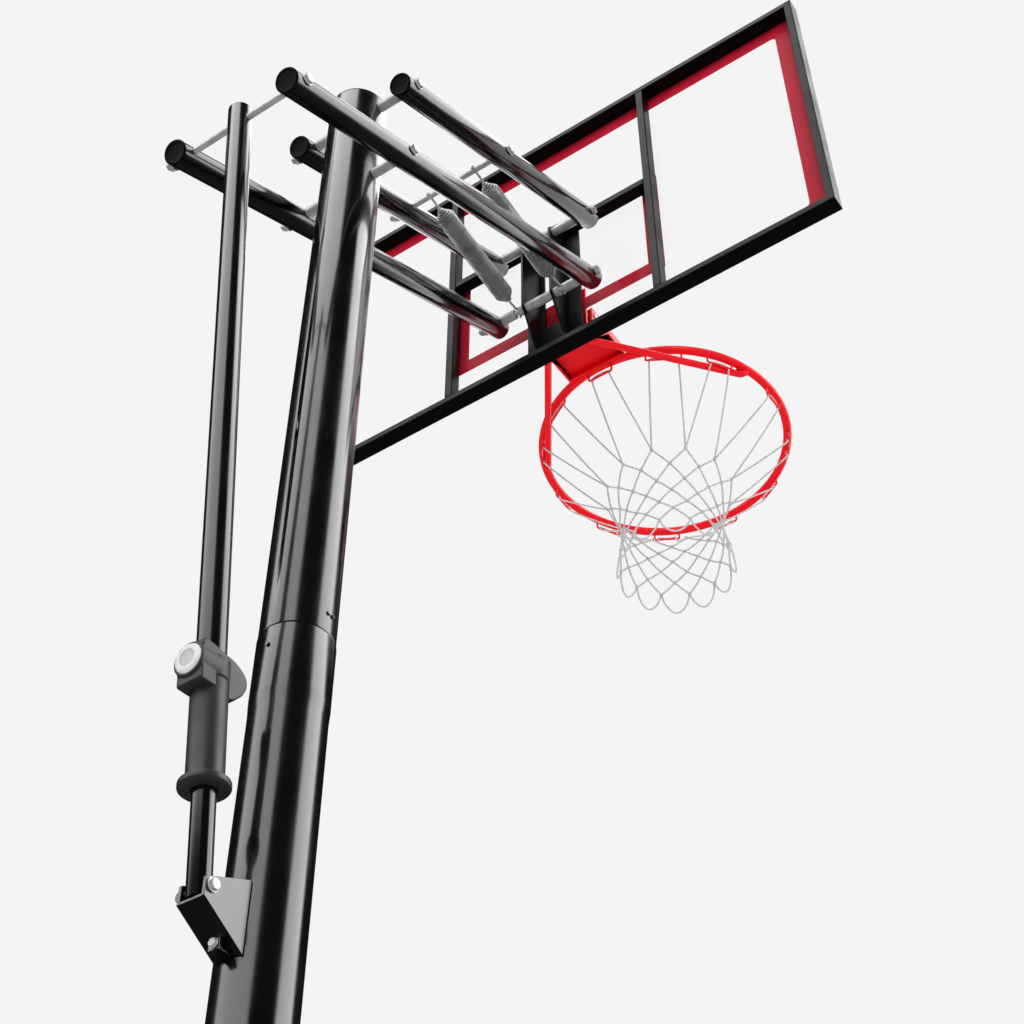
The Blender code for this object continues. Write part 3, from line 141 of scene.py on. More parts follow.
class NodeTree:
    """Adds and links the nodes of one shader or geometry tree."""

    def __init__(self, tree: bpy.types.NodeTree) -> None:
        """Start on an empty tree."""
        self.tree = tree
        tree.nodes.clear()

    def node(self, kind: str, inputs: Optional[dict] = None, **settings: object) -> Node:
        """Add a node.

        Args:
            kind: Blender's name of the node type.
            inputs: values or output sockets by the input's name or number.
            settings: properties of the node.

        Returns:
            The new node.
        """
        made = self.tree.nodes.new(kind)
        for name, value in settings.items():
            setattr(made, name, value)
        for key, value in (inputs or {}).items():
            socket = made.inputs[key]
            if isinstance(value, NodeSocket):
                self.tree.links.new(value, socket)
            else:
                socket.default_value = value
        return made

    def math(self, operation: str, first: object, second: object = 0.0, third: object = 0.0) -> NodeSocket:
        """Add a Math node and return its result."""
        values = {0: first, 1: second, 2: third}
        return self.node("ShaderNodeMath", values, operation=operation).outputs[0]

    def times(self, first: object, second: object) -> NodeSocket:
        """Multiply two values."""
        return self.math("MULTIPLY", first, second)

    def remap(self, value: object, low: float, high: float, to_low: float, to_high: float) -> NodeSocket:
        """Map a value smoothly from one range to another, clamped, and return it."""
        values = {0: value, 1: low, 2: high, 3: to_low, 4: to_high}
        return self.node("ShaderNodeMapRange", values, interpolation_type="SMOOTHSTEP").outputs[0]

    def parts(self, vector: NodeSocket) -> Sequence[NodeSocket]:
        """X, Y and Z of a vector, or red, green and blue of a colour."""
        return self.node("ShaderNodeSeparateXYZ", {0: vector}).outputs


class Shader(NodeTree):
    """One material with a Principled surface and the patterns that dress it."""

    def __init__(self, name: str, **uniform: object) -> None:
        """Make the material.

        Args:
            name: the material's name.
            uniform: values of the Principled sockets that are the same all over, with _ for each space.
        """
        self.material = bpy.data.materials.new(name)
        self.material.use_nodes = True
        super().__init__(self.material.node_tree)
        self.surface = self.node("ShaderNodeBsdfPrincipled")
        for key, value in uniform.items():
            self.surface.inputs[key.replace("_", " ")].default_value = value
        self.node("ShaderNodeOutputMaterial", {"Surface": self.surface.outputs[0]})
        self.place = self.node("ShaderNodeTexCoord").outputs["Object"]

    def noise(self, scale: float, detail: float = 2.0, stretch: Point = (1.0, 1.0, 1.0)) -> NodeSocket:
        """Add a noise on object coordinates.

        Args:
            scale: cycles per metre.
            detail: octaves of finer noise.
            stretch: factor of the scale along each axis.

        Returns:
            The noise's value.
        """
        where = self.place
        if tuple(stretch) != (1.0, 1.0, 1.0):
            where = self.node("ShaderNodeMapping", {"Vector": where, "Scale": stretch}).outputs[0]
        made = self.node("ShaderNodeTexNoise", {"Vector": where, "Scale": scale, "Detail": detail})
        return made.outputs[0]

    def blend(self, share: object, first: object, second: object) -> NodeSocket:
        """Mix two colours by a share and return the result."""
        return self.node("ShaderNodeMix", {0: share, 6: first, 7: second}, data_type="RGBA").outputs[2]

    def bump(self, height: object, distance: float, strength: float = 1.0) -> None:
        """Add a bump of that depth in metres to the surface, over any bump before it.

        Args:
            height: the pattern's value.
            distance: the bump's depth in metres.
            strength: how much of it shows.
        """
        values = {"Height": height, "Distance": distance, "Strength": strength}
        if self.surface.inputs["Normal"].is_linked:
            values["Normal"] = self.surface.inputs["Normal"].links[0].from_socket
        self.feed("Normal", self.node("ShaderNodeBump", values).outputs[0])

    def feed(self, name: str, socket: NodeSocket) -> None:
        """Link a value or colour to one of the surface's sockets."""
        self.tree.links.new(socket, self.surface.inputs[name])

    def upward(self) -> NodeSocket:
        """Share of each point that faces the sky, where dust settles."""
        normal = self.node("ShaderNodeNewGeometry").outputs["Normal"]
        return self.remap(self.parts(normal)[2], 0.25, 0.95, 0.0, 1.0)


def rgb(red: float, green: float, blue: float) -> tuple[float, float, float, float]:
    """A linear colour with full alpha."""
    return (red, green, blue, 1.0)


@dataclass(frozen=True)
class GlossPaint:
    """Baked powder coat: fine orange peel, drawn-tube waviness, dust on top and hairline scuffs."""

    name: str
    colour: tuple
    dust: tuple = rgb(0.13, 0.125, 0.115)
    roughness: tuple[float, float] = (0.15, 0.26)
    peel: float = 0.00005
    dust_share: float = 0.06
    specular: float = 0.6
    coat: float = 0.75

    def material(self) -> Material:
        """Build the paint's material.

        Returns:
            The finished material.
        """
        coat = dict(Coat_Weight=self.coat, Coat_Roughness=0.09, Coat_IOR=1.5)
        s = Shader(self.name, Specular_IOR_Level=self.specular, **coat)
        grime = s.remap(s.noise(23.0, 8.0), 0.42, 0.72, 0.0, 1.0)
        settled = s.times(s.times(grime, s.upward()), self.dust_share)
        scuffs = s.remap(s.noise(1.0, 3.0, (620.0, 620.0, 26.0)), 0.70, 0.76, 0.0, 1.0)
        patch = s.remap(s.noise(4.0, 3.0), 0.52, 0.66, 0.0, 1.0)
        scuffed = s.times(scuffs, patch)
        clean = s.blend(s.times(scuffed, 0.06), self.colour, self.dust)
        s.feed("Base Color", s.blend(settled, clean, self.dust))
        rough = s.remap(s.noise(11.0, 6.0), 0.3, 0.7, *self.roughness)
        worn = s.math("MAXIMUM", scuffed, settled)
        s.feed("Roughness", s.math("ADD", rough, s.times(worn, 0.22)))
        s.bump(s.noise(7.0, 2.0, (1.0, 1.0, 0.12)), 0.0010, 0.06)
        s.bump(s.noise(430.0, 2.0), self.peel, 0.55)
        return s.material


@dataclass(frozen=True)
class MouldedPlastic:
    """Injection-moulded plastic: spark-eroded grain, flow mottling and handling shine."""

    name: str
    colour: tuple
    roughness: tuple[float, float] = (0.38, 0.55)
    grain: float = 0.00006
    specular: float = 0.5

    def material(self) -> Material:
        """Build the plastic's material.

        Returns:
            The finished material.
        """
        s = Shader(self.name, Specular_IOR_Level=self.specular)
        light = tuple(min(1.0, part * 1.5 + 0.004) for part in self.colour[:3]) + (1.0,)
        flow = s.remap(s.noise(31.0, 6.0), 0.35, 0.75, 0.0, 0.55)
        s.feed("Base Color", s.blend(flow, self.colour, light))
        s.feed("Roughness", s.remap(s.noise(17.0, 5.0), 0.3, 0.7, *self.roughness))
        s.bump(s.noise(1500.0, 3.0), self.grain, 0.6)
        return s.material


@dataclass(frozen=True)
class ZincPlate:
    """Bright zinc on steel: cloudy passivation, fine spangle and a dull film in places."""

    name: str = "zinc_plate"
    bright: tuple = rgb(0.60, 0.61, 0.63)
    dull: tuple = rgb(0.40, 0.41, 0.42)
    roughness: tuple[float, float] = (0.28, 0.48)

    def material(self) -> Material:
        """Build the plating's material.

        Returns:
            The finished material.
        """
        s = Shader(self.name, Metallic=0.45)
        cells = s.node("ShaderNodeTexVoronoi", {"Vector": s.place, "Scale": 420.0}).outputs["Color"]
        cloud = s.remap(s.noise(60.0, 7.0), 0.35, 0.7, 0.0, 0.8)
        share = s.math("ADD", s.times(s.parts(cells)[0], 0.2), cloud)
        s.feed("Base Color", s.blend(share, self.bright, self.dull))
        s.feed("Roughness", s.remap(share, 0.0, 1.0, *self.roughness))
        s.bump(s.noise(1100.0, 3.0), 0.00003, 0.6)
        return s.material


@dataclass(frozen=True)
class SpringSteel:
    """Drawn spring wire: die lines along the wire and oil that has darkened in patches."""

    name: str = "spring_steel"
    light: tuple = rgb(0.66, 0.67, 0.68)
    dark: tuple = rgb(0.24, 0.24, 0.25)

    def material(self) -> Material:
        """Build the wire's material.

        Returns:
            The finished material.
        """
        s = Shader(self.name, Metallic=0.8)
        theta = around_cord(s)
        lines = s.math("SINE", s.times(theta, 9.0))
        oil = s.remap(s.noise(38.0, 7.0), 0.40, 0.68, 0.0, 1.0)
        share = s.math("ADD", s.times(lines, 0.08), s.times(oil, 0.55))
        s.feed("Base Color", s.blend(share, self.light, self.dark))
        s.feed("Roughness", s.remap(oil, 0.0, 1.0, 0.30, 0.46))
        s.bump(lines, 0.00002, 0.5)
        return s.material


@dataclass(frozen=True)
class NetCord:
    """Twisted three-strand cord, slightly greyed by weather, with painted shade in the grooves between its
    strands, and with stray fibres.
    """

    name: str = "net_cord"
    clean: tuple = rgb(0.62, 0.62, 0.615)
    # Grey of the weathered patches, and also of the painted shade in the grooves between strands
    grey: tuple = rgb(0.40, 0.40, 0.40)
    lay_length: float = 0.0085
    strands: int = 3

    def material(self) -> Material:
        """Build the cord's material.

        Returns:
            The finished material.
        """
        s = Shader(self.name, Specular_IOR_Level=0.25, Sheen_Weight=0.25, Sheen_Roughness=0.5)
        along = s.node("ShaderNodeAttribute", attribute_name="along").outputs["Fac"]
        turn = s.times(along, 2 * math.pi / self.lay_length)
        phase = s.times(s.math("ADD", around_cord(s), turn), self.strands)
        twist = s.math("ABSOLUTE", s.math("SINE", s.times(phase, 0.5)))
        dirt = s.remap(s.noise(55.0, 7.0), 0.42, 0.75, 0.0, 0.5)
        groove_shade = s.remap(twist, 0.0, 0.5, 0.55, 0.0)
        # Painted shade: the colour greys in the grooves between the strands, as well as in patches greyed by
        # weather
        s.feed("Base Color", s.blend(s.math("MAXIMUM", groove_shade, dirt), self.clean, self.grey))
        s.feed("Roughness", s.remap(dirt, 0.0, 0.5, 0.72, 0.9))
        s.bump(twist, 0.00045, 0.8)
        s.bump(s.noise(2600.0, 3.0), 0.00012, 0.6)
        return s.material


@dataclass(frozen=True)
class ClearSheet:
    """Clear acrylic: polished, with hairline wiping marks that show only in the gloss."""

    name: str = "clear_acrylic"

    def material(self) -> Material:
        """Build the clear sheet's material.

        Returns:
            The finished material.
        """
        s = Shader(self.name, Transmission_Weight=1.0, IOR=1.07)
        s.surface.inputs["Base Color"].default_value = rgb(0.985, 0.99, 0.99)
        wipe = s.remap(s.noise(1.0, 4.0, (14.0, 1.0, 260.0)), 0.62, 0.80, 0.0, 0.035)
        s.feed("Roughness", wipe)
        return s.material


@dataclass(frozen=True)
class PrintedFilm:
    """Screen-printed ink on the back of the sheet: mesh texture, pinholes and a worn edge."""

    name: str = "printed_red"
    ink: tuple = rgb(0.62, 0.012, 0.038)
    thin: tuple = rgb(0.66, 0.020, 0.050)

    def material(self) -> Material:
        """Build the ink's material.

        Returns:
            The finished material.
        """
        s = Shader(self.name, Specular_IOR_Level=0.08)
        mesh = s.times(s.remap(s.noise(900.0, 2.0), 0.55, 0.75, 0.0, 0.5), 0.7)
        cloud = s.remap(s.noise(9.0, 5.0), 0.4, 0.75, 0.0, 0.35)
        s.feed("Base Color", s.blend(s.math("MAXIMUM", mesh, cloud), self.ink, self.thin))
        s.feed("Roughness", s.remap(cloud, 0.0, 0.35, 0.42, 0.6))
        s.bump(s.noise(900.0, 2.0), 0.00002, 0.5)
        return s.material


def around_cord(s: Shader) -> NodeSocket:
    """Angle round a cord or wire, from the direction that its tube stores on each point.

    Args:
        s: the cord's or wire's shader.

    Returns:
        The angle in radians.
    """
    ring = s.node("ShaderNodeAttribute", attribute_name="ring").outputs["Vector"]
    x, y, _ = s.parts(ring)
    return s.math("ARCTAN2", y, x)


class Palette:
    """The hoop's finished materials."""

    def __init__(self) -> None:
        """Build each finish once."""
        self.black = GlossPaint("black_paint", rgb(0.0020, 0.0020, 0.0022)).material()
        satin = dict(roughness=(0.34, 0.46), peel=0.00008, specular=0.19, coat=0.0, dust_share=0.02)
        self.frame = GlossPaint("frame_coat", rgb(0.0022, 0.0022, 0.0024), **satin).material()
        enamel = dict(roughness=(0.30, 0.42), specular=0.22, coat=0.10)
        enamel |= dict(dust=rgb(0.50, 0.10, 0.08), dust_share=0.05)
        self.red = GlossPaint("red_enamel", rgb(0.90, 0.0022, 0.0100), **enamel).material()
        self.cap = MouldedPlastic("cap_plastic", rgb(0.0016, 0.0016, 0.0018), specular=0.10).material()
        self.grip = MouldedPlastic("grip_plastic", rgb(0.020, 0.020, 0.021), (0.36, 0.50)).material()
        self.white = MouldedPlastic("white_plastic", rgb(0.60, 0.60, 0.59), (0.34, 0.50), 0.00003).material()
        self.grey = MouldedPlastic("grey_plastic", rgb(0.42, 0.42, 0.42), (0.38, 0.5), 0.00003).material()
        self.zinc = ZincPlate().material()
        self.spring = SpringSteel().material()
        self.cord = NetCord().material()
        self.clear = ClearSheet().material()
        self.ink = PrintedFilm().material()
        self.usual = {
            Slot.BLACK_PAINT: self.black,
            Slot.BLACK_PLASTIC: self.cap,
            Slot.FRAME_MOULDING: self.frame,
            Slot.ZINC: self.zinc,
            Slot.RED_PAINT: self.red,
            Slot.CLEAR: self.clear,
        }


class GeometryTree(NodeTree):
    """A Geometry Nodes tree with named inputs, which ends in Realize Instances and Set Material."""

    def __init__(self, name: str, sizes: dict[str, float], objects: Iterable[str] = ()) -> None:
        """Make the tree and its inputs.

        Args:
            name: the tree's name.
            sizes: named float inputs and their usual values.
            objects: names of object inputs.
        """
        super().__init__(bpy.data.node_groups.new(name, "GeometryNodeTree"))
        self.keys: dict[str, str] = {}
        self.socket("Geometry", "Geometry")
        for label, usual in sizes.items():
            self.socket(label, "Float").default_value = usual
        for label in objects:
            self.socket(label, "Object")
        self.socket("Material", "Material")
        self.socket("Geometry", "Geometry", "OUTPUT")
        self.given = self.node("NodeGroupInput").outputs

    def socket(self, label: str, kind: str, way: str = "INPUT") -> bpy.types.NodeTreeInterfaceSocket:
        """Add an input or output to the tree, and note its key.

        Args:
            label: the socket's name.
            kind: the last part of its type's name.
            way: INPUT or OUTPUT.

        Returns:
            The new socket.
        """
        made = self.tree.interface.new_socket(name=label, in_out=way, socket_type=f"NodeSocket{kind}")
        self.keys[label] = made.identifier
        return made

    def attribute(self, name: str, kind: str = "FLOAT") -> NodeSocket:
        """Read a named attribute of the geometry."""
        made = self.node("GeometryNodeInputNamedAttribute", {"Name": name}, data_type=kind)
        return next(socket for socket in made.outputs if socket.enabled and socket.name == "Attribute")

    def store(self, geometry: NodeSocket, name: str, value: NodeSocket, kind: str) -> NodeSocket:
        """Store a value on each point of the geometry under a name.

        Args:
            geometry: what carries the value.
            name: the attribute's name.
            value: what is stored.
            kind: its data type.

        Returns:
            The geometry with its attribute.
        """
        values = {"Geometry": geometry, "Name": name}
        made = self.node("GeometryNodeStoreNamedAttribute", values, data_type=kind)
        self.tree.links.new(value, next(s for s in made.inputs if s.enabled and s.name == "Value"))
        return made.outputs[0]

    def tube(self, curve: NodeSocket, radius: object, sides: object) -> NodeSocket:
        """Sweep a round section along a curve, storing how far along and which way round each point is.

        Args:
            curve: the line to follow.
            radius: the section's radius.
            sides: number of the section's sides.

        Returns:
            The tube.
        """
        length = self.node("GeometryNodeSplineParameter").outputs["Length"]
        marked = self.store(curve, "along", length, "FLOAT")
        ring = self.node("GeometryNodeCurvePrimitiveCircle", {"Resolution": sides, "Radius": radius})
        place = self.node("GeometryNodeInputPosition").outputs[0]
        way = self.node("ShaderNodeVectorMath", {0: place}, operation="NORMALIZE").outputs[0]
        section = self.store(ring.outputs[0], "ring", way, "FLOAT_VECTOR")
        values = {"Curve": marked, "Profile Curve": section, "Fill Caps": True}
        made = self.node("GeometryNodeCurveToMesh", values)
        return self.node("GeometryNodeSetShadeSmooth", {"Geometry": made.outputs[0]}).outputs[0]

    def end(self, geometry: NodeSocket) -> "GeometryTree":
        """Realize what the tree has made, set its material and send it out.

        Args:
            geometry: what the tree has made.

        Returns:
            The tree itself.
        """
        real = self.node("GeometryNodeRealizeInstances", {0: geometry}).outputs[0]
        dressed = self.node("GeometryNodeSetMaterial", {0: real, "Material": self.given["Material"]})
        self.node("NodeGroupOutput", {0: dressed.outputs[0]})
        return self

    def run(self, name: str, mesh: Mesh, material: Material, **values: object) -> Mesh:
        """Run the tree on a mesh.

        Args:
            name: name of the result.
            mesh: what goes in.
            material: finish of what comes out.
            values: the named inputs.

        Returns:
            A plain mesh.
        """
        host = linked(name, mesh)
        modifier = host.modifiers.new("nodes", "NODES")
        modifier.node_group = self.tree
        for label, value in {"Material": material, **values}.items():
            modifier[self.keys[label]] = value
        return baked(host, name)


def linked(name: str, data: Optional[bpy.types.ID]) -> Object:
    """Add an object to the scene.

    Args:
        name: the object's name.
        data: its mesh, camera or light.

    Returns:
        The new object.
    """
    made = bpy.data.objects.new(name, data)
    bpy.context.scene.collection.objects.link(made)
    return made


def baked(host: Object, name: str) -> Mesh:
    """Turn an object with its modifiers into a plain mesh, and remove the object.

    Args:
        host: the object.
        name: the mesh's name.

    Returns:
        The plain mesh.
    """
    bpy.context.view_layer.update()
    graph = bpy.context.evaluated_depsgraph_get()
    final = host.evaluated_get(graph)
    mesh = bpy.data.meshes.new_from_object(final, preserve_all_data_layers=True, depsgraph=graph)
    mesh.name = name
    bpy.data.objects.remove(host, do_unlink=True)
    return mesh


def wire_tree() -> GeometryTree:
    """Tree that turns edge paths into round wires, and puts a knot path on each point marked knot.

    Returns:
        The tree.
    """
    t = GeometryTree("wires", {"Radius": 0.002, "Spacing": 0.003, "Sides": 10.0}, ["Knot"])
    source = t.given["Geometry"]
    knot = t.node("GeometryNodeObjectInfo", {"Object": t.given["Knot"]}).outputs["Geometry"]
    marked = t.math("GREATER_THAN", t.attribute("knot"), 0.5)
    turn = t.attribute("turn", "FLOAT_VECTOR")
    values = {"Points": source, "Selection": marked, "Instance": knot, "Rotation": turn}
    placed = t.node("GeometryNodeInstanceOnPoints", values).outputs[0]
    real = t.node("GeometryNodeRealizeInstances", {0: placed}).outputs[0]
    both = t.node("GeometryNodeJoinGeometry", {0: source})
    t.tree.links.new(real, both.inputs[0])
    curve = t.node("GeometryNodeMeshToCurve", {0: both.outputs[0]}).outputs[0]
    smooth = t.node("GeometryNodeCurveSplineType", {0: curve}, spline_type="CATMULL_ROM").outputs[0]
    even = t.node("GeometryNodeResampleCurve", {0: smooth, "Length": t.given["Spacing"]}, mode="LENGTH")
    return t.end(t.tube(even.outputs[0], t.given["Radius"], t.given["Sides"]))


def coil_tree() -> GeometryTree:
    """Tree that winds a spring up +Z: even coils that narrow in a cone at each end.

    Returns:
        The tree.
    """
    sizes = {"Length": 0.2, "Radius": 0.015, "Neck": 0.004, "Cone": 0.018}
    t = GeometryTree("coils", sizes | {"Wire": 0.0017, "Turns": 50.0, "Steps": 900.0})
    given = t.given
    line = t.node("GeometryNodeCurvePrimitiveLine", {"End": (0.0, 0.0, 1.0)}).outputs[0]
    cut = t.node("GeometryNodeResampleCurve", {0: line, "Count": given["Steps"]}, mode="COUNT").outputs[0]
    share = t.node("GeometryNodeSplineParameter").outputs["Factor"]
    height = t.times(share, given["Length"])
    to_end = t.math("MINIMUM", height, t.math("SUBTRACT", given["Length"], height))
    inner = t.math("DIVIDE", to_end, given["Cone"])
    grown = t.node("ShaderNodeMapRange", {0: inner}, interpolation_type="SMOOTHSTEP").outputs[0]
    spread = t.math("SUBTRACT", given["Radius"], given["Neck"])
    radius = t.math("MULTIPLY_ADD", grown, spread, given["Neck"])
    angle = t.times(t.times(share, given["Turns"]), 2 * math.pi)
    across = t.times(t.math("COSINE", angle), radius)
    deep = t.times(t.math("SINE", angle), radius)
    place = t.node("ShaderNodeCombineXYZ", {0: across, 1: deep, 2: height}).outputs[0]
    wound = t.node("GeometryNodeSetPosition", {0: cut, "Position": place}).outputs[0]
    return t.end(t.tube(wound, given["Wire"], 8))


def fastener_tree() -> GeometryTree:
    """Tree that sets a fastener on each point, facing the point's aim and turned at random.

    Returns:
        The tree.
    """
    t = GeometryTree("fasteners", {"Seed": 3.0}, ["Fastener"])
    shape = t.node("GeometryNodeObjectInfo", {"Object": t.given["Fastener"]}).outputs["Geometry"]
    aim = t.attribute("aim", "FLOAT_VECTOR")
    facing = t.node("FunctionNodeAlignRotationToVector", {"Vector": aim}, axis="Z").outputs[0]
    chance = t.node("FunctionNodeRandomValue", {"Seed": t.given["Seed"]}, data_type="FLOAT")
    for socket in chance.inputs:
        if socket.enabled and socket.name == "Max":
            socket.default_value = 2 * math.pi
    angle = next(socket for socket in chance.outputs if socket.enabled)
    spin = t.node("FunctionNodeAxisAngleToRotation", {"Axis": (0.0, 0.0, 1.0), "Angle": angle}).outputs[0]
    turned = t.node("FunctionNodeRotateRotation", {0: facing, 1: spin}, rotation_space="LOCAL").outputs[0]
    size = t.attribute("size", "FLOAT_VECTOR")
    values = {"Points": t.given["Geometry"], "Instance": shape, "Rotation": turned, "Scale": size}
    return t.end(t.node("GeometryNodeInstanceOnPoints", values).outputs[0])


@dataclass
class Path:
    """A line of points that a wire follows, and whether its ends meet."""

    points: list[Vector]
    closed: bool = False


def paths_mesh(paths: Iterable[Path], knots: Sequence[tuple[Vector, Vector]] = ()) -> Mesh:
    """Edges of some paths, with loose points for knots.

    Args:
        paths: what the wires follow.
        knots: place and Euler turn of each knot.

    Returns:
        A mesh of edges with the attributes knot and turn.
    """
    points, edges = [], []
    for path in paths:
        first = len(points)
        points += [tuple(point) for point in path.points]
        edges += [(at, at + 1) for at in range(first, len(points) - 1)]
        if path.closed:
            edges.append((len(points) - 1, first))
    wired = len(points)
    points += [tuple(place) for place, _ in knots]
    mesh = bpy.data.meshes.new("paths")
    mesh.from_pydata(points, edges, [])
    mark = mesh.attributes.new("knot", "FLOAT", "POINT")
    turn = mesh.attributes.new("turn", "FLOAT_VECTOR", "POINT")
    for number, (_, turned) in enumerate(knots):
        mark.data[wired + number].value = 1.0
        turn.data[wired + number].vector = turned
    return mesh


def turns(count: int) -> list[float]:
    """Angles of some equal steps round a circle."""
    return [2 * math.pi * step / count for step in range(count)]


def circle(radius: float, count: int) -> Outline:
    """Points round a circle about the origin."""
    return [(radius * math.cos(turn), radius * math.sin(turn)) for turn in turns(count)]


def span(bm: bmesh.types.BMesh, low: Sequence, high: Sequence) -> None:
    """Fill the gap between two closed rings of vertices, either of which may be a single pole.

    Args:
        bm: the mesh that is being built.
        low: the first ring's vertices.
        high: the second ring's vertices.
    """
    count = max(len(low), len(high))
    for step in range(count):
        after = (step + 1) % count
        loop = [low[step % len(low)], low[after % len(low)]]
        loop += [high[after % len(high)], high[step % len(high)]]
        corners = list(dict.fromkeys(loop))
        if len(corners) > 2:
            bm.faces.new(corners)


def bevel_edges(bm: bmesh.types.BMesh, width: float, segments: int, least: float) -> None:
    """Bevel the edges that turn by more than an angle in degrees.

    Args:
        bm: the mesh that is being built.
        width: the bevel's width.
        segments: steps across it.
        least: the angle.
    """
    edges = [edge for edge in bm.edges if edge.calc_face_angle(0.0) > math.radians(least)]
    shape = dict(segments=segments, profile=0.5, affect="EDGES", clamp_overlap=True)
    bmesh.ops.bevel(bm, geom=edges, offset=width, **shape)


def rounded(points: Sequence[Point], radius: float, steps: int = 4, closed: bool = True) -> list[Vector]:
    """Round the corners of a line of points.

    Args:
        points: the corners, flat or in space.
        radius: how far before and after a corner its curve starts, where the sides are long enough.
        steps: parts of each curve.
        closed: whether the last point joins the first.

    Returns:
        The rounded line.
    """
    corners = [Vector(point) for point in points]
    count = len(corners)
    made: list[Vector] = []
    for number, corner in enumerate(corners):
        if not closed and number in (0, count - 1):
            made.append(corner)
            continue
        before, after = corners[number - 1] - corner, corners[(number + 1) % count] - corner
        back = corner + before.normalized() * min(radius, 0.45 * before.length)
        ahead = corner + after.normalized() * min(radius, 0.45 * after.length)
        for step in range(steps + 1):
            share = step / steps
            made.append(back.lerp(corner, share).lerp(corner.lerp(ahead, share), share))
    return made


def lathe(profile: Iterable[Point], place: Matrix, segments: int = 96, closed: bool = True) -> Mesh:
    """Turn a profile of (radius, height) about the place's Z.

    Args:
        profile: the profile's points.
        place: where the turned shape stands.
        segments: steps round the axis.
        closed: whether the profile's last point joins its first.

    Returns:
        The turned mesh.
    """
    bm = bmesh.new()
    profile = [tuple(point) for point in profile]
    rings = []
    for radius, height in profile:
        around = circle(radius, segments) if radius > POLE_POINT else [(0.0, 0.0)]
        rings.append([bm.verts.new((x, y, height)) for x, y in around])
    pairs = list(zip(rings, rings[1:])) + ([(rings[-1], rings[0])] if closed else [])
    for low, high in pairs:
        span(bm, low, high)
    bm.transform(place)
    return settle(bm)


def settle(bm: bmesh.types.BMesh, smooth: float = 32.0) -> Mesh:
    """Merge a new mesh's doubles, face it outwards and smooth it up to an angle in degrees.

    Args:
        bm: the new mesh, which is freed.
        smooth: the angle.

    Returns:
        The finished mesh.
    """
    bmesh.ops.remove_doubles(bm, verts=bm.verts, dist=2e-6)
    bmesh.ops.recalc_face_normals(bm, faces=bm.faces)
    mesh = bpy.data.meshes.new("mesh")
    bm.to_mesh(mesh)
    bm.free()
    mesh.shade_smooth()
    mesh.set_sharp_from_angle(angle=math.radians(smooth))
    return mesh


def solid(radius: float, low: float, high: float) -> Outline:
    """Profile of a solid cylinder, out from its axis and back."""
    return [(0.0, low), (radius, low), (radius, high), (0.0, high)]


def pipe(radii: Point, ends: Point, edge: float, place: Matrix, segments: int = 96) -> Mesh:
    """Turn a tube of an outer and an inner radius between two heights, its edges rounded.

    Args:
        radii: the outer and the inner radius.
        ends: both heights.
        edge: radius of the edges.
        place: where the tube stands.
        segments: steps round the axis.

    Returns:
        The tube's mesh.
    """
    (outer, inner), (low, high) = radii, ends
    profile = [(outer, low), (outer, high), (inner, high), (inner, low)]
    return lathe(rounded(profile, edge, 2), place, segments)


def prism(outline: Iterable[Point], place: Matrix, low: float, high: float, bevel: float = 0.0) -> Mesh:
    """Raise a flat outline from one height to another along the place's Z, its edges bevelled.

    Args:
        outline: the outline's points.
        place: where its plane lies.
        low: the first height.
        high: the second height.
        bevel: the bevel's width, or 0 for none.

    Returns:
        The raised mesh.
    """
    bm = bmesh.new()
    face = bm.faces.new([bm.verts.new((point[0], point[1], low)) for point in outline])
    raised = bmesh.ops.extrude_face_region(bm, geom=[face])["geom"]
    for vert in (part for part in raised if isinstance(part, bmesh.types.BMVert)):
        vert.co.z = high
    bm.transform(place)
    bmesh.ops.recalc_face_normals(bm, faces=bm.faces)
    if bevel:
        bevel_edges(bm, bevel, 3, 50)
    return settle(bm)


def refined(node: str, bevel: float, segments: int = 3) -> Mesh:
    """Copy a CAD node's mesh with its edges bevelled.

    Args:
        node: the CAD node.
        bevel: width of the bevel in metres.
        segments: steps across it.

    Returns:
        The finer mesh.
    """
    bm = bmesh.new()
    bm.from_mesh(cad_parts[node].data)
    bmesh.ops.remove_doubles(bm, verts=bm.verts, dist=1e-6)
    bmesh.ops.dissolve_limit(bm, angle_limit=math.radians(0.6), verts=bm.verts, edges=bm.edges)
    bevel_edges(bm, bevel, segments, 32)
    return even_shading(settle(bm, 40.0))


def even_shading(mesh: Mesh) -> Mesh:
    """Keep flat faces flat beside their bevels, by weighting the normals.

    Args:
        mesh: the bevelled mesh.

    Returns:
        The same shape with weighted normals.
    """
    host = linked("shaded", mesh)
    modifier = host.modifiers.new("normals", "WEIGHTED_NORMAL")
    modifier.keep_sharp = True
    modifier.weight = 60
    return baked(host, "shaded")


def merged(*meshes: Mesh) -> Mesh:
    """Join meshes into one, with their attributes, smoothing and materials.

    Args:
        meshes: what is joined.

    Returns:
        One mesh.
    """
    hosts = [linked("part", mesh) for mesh in meshes]
    with bpy.context.temp_override(active_object=hosts[0], selected_editable_objects=hosts):
        bpy.ops.object.join()
    mesh = hosts[0].data
    bpy.data.objects.remove(hosts[0], do_unlink=True)
    return mesh


def bored(mesh: Mesh, *cutters: Mesh) -> Mesh:
    """Cut closed shapes out of a mesh, one after another.

    Args:
        mesh: what is cut.
        cutters: the closed shapes.

    Returns:
        The cut mesh.
    """
    for cutter in cutters:
        tool, host = linked("cutter", cutter), linked("host", mesh)
        modifier = host.modifiers.new("cut", "BOOLEAN")
        modifier.operation, modifier.solver, modifier.object = "DIFFERENCE", "EXACT", tool
        mesh = baked(host, "bored")
        bpy.data.objects.remove(tool, do_unlink=True)
    return mesh


def looking(place: Point, axis: Vector) -> Matrix:
    """Matrix at a place whose Z runs along an axis."""
    return Matrix.Translation(Vector(place)) @ axis.to_track_quat("Z", "Y").to_matrix().to_4x4()


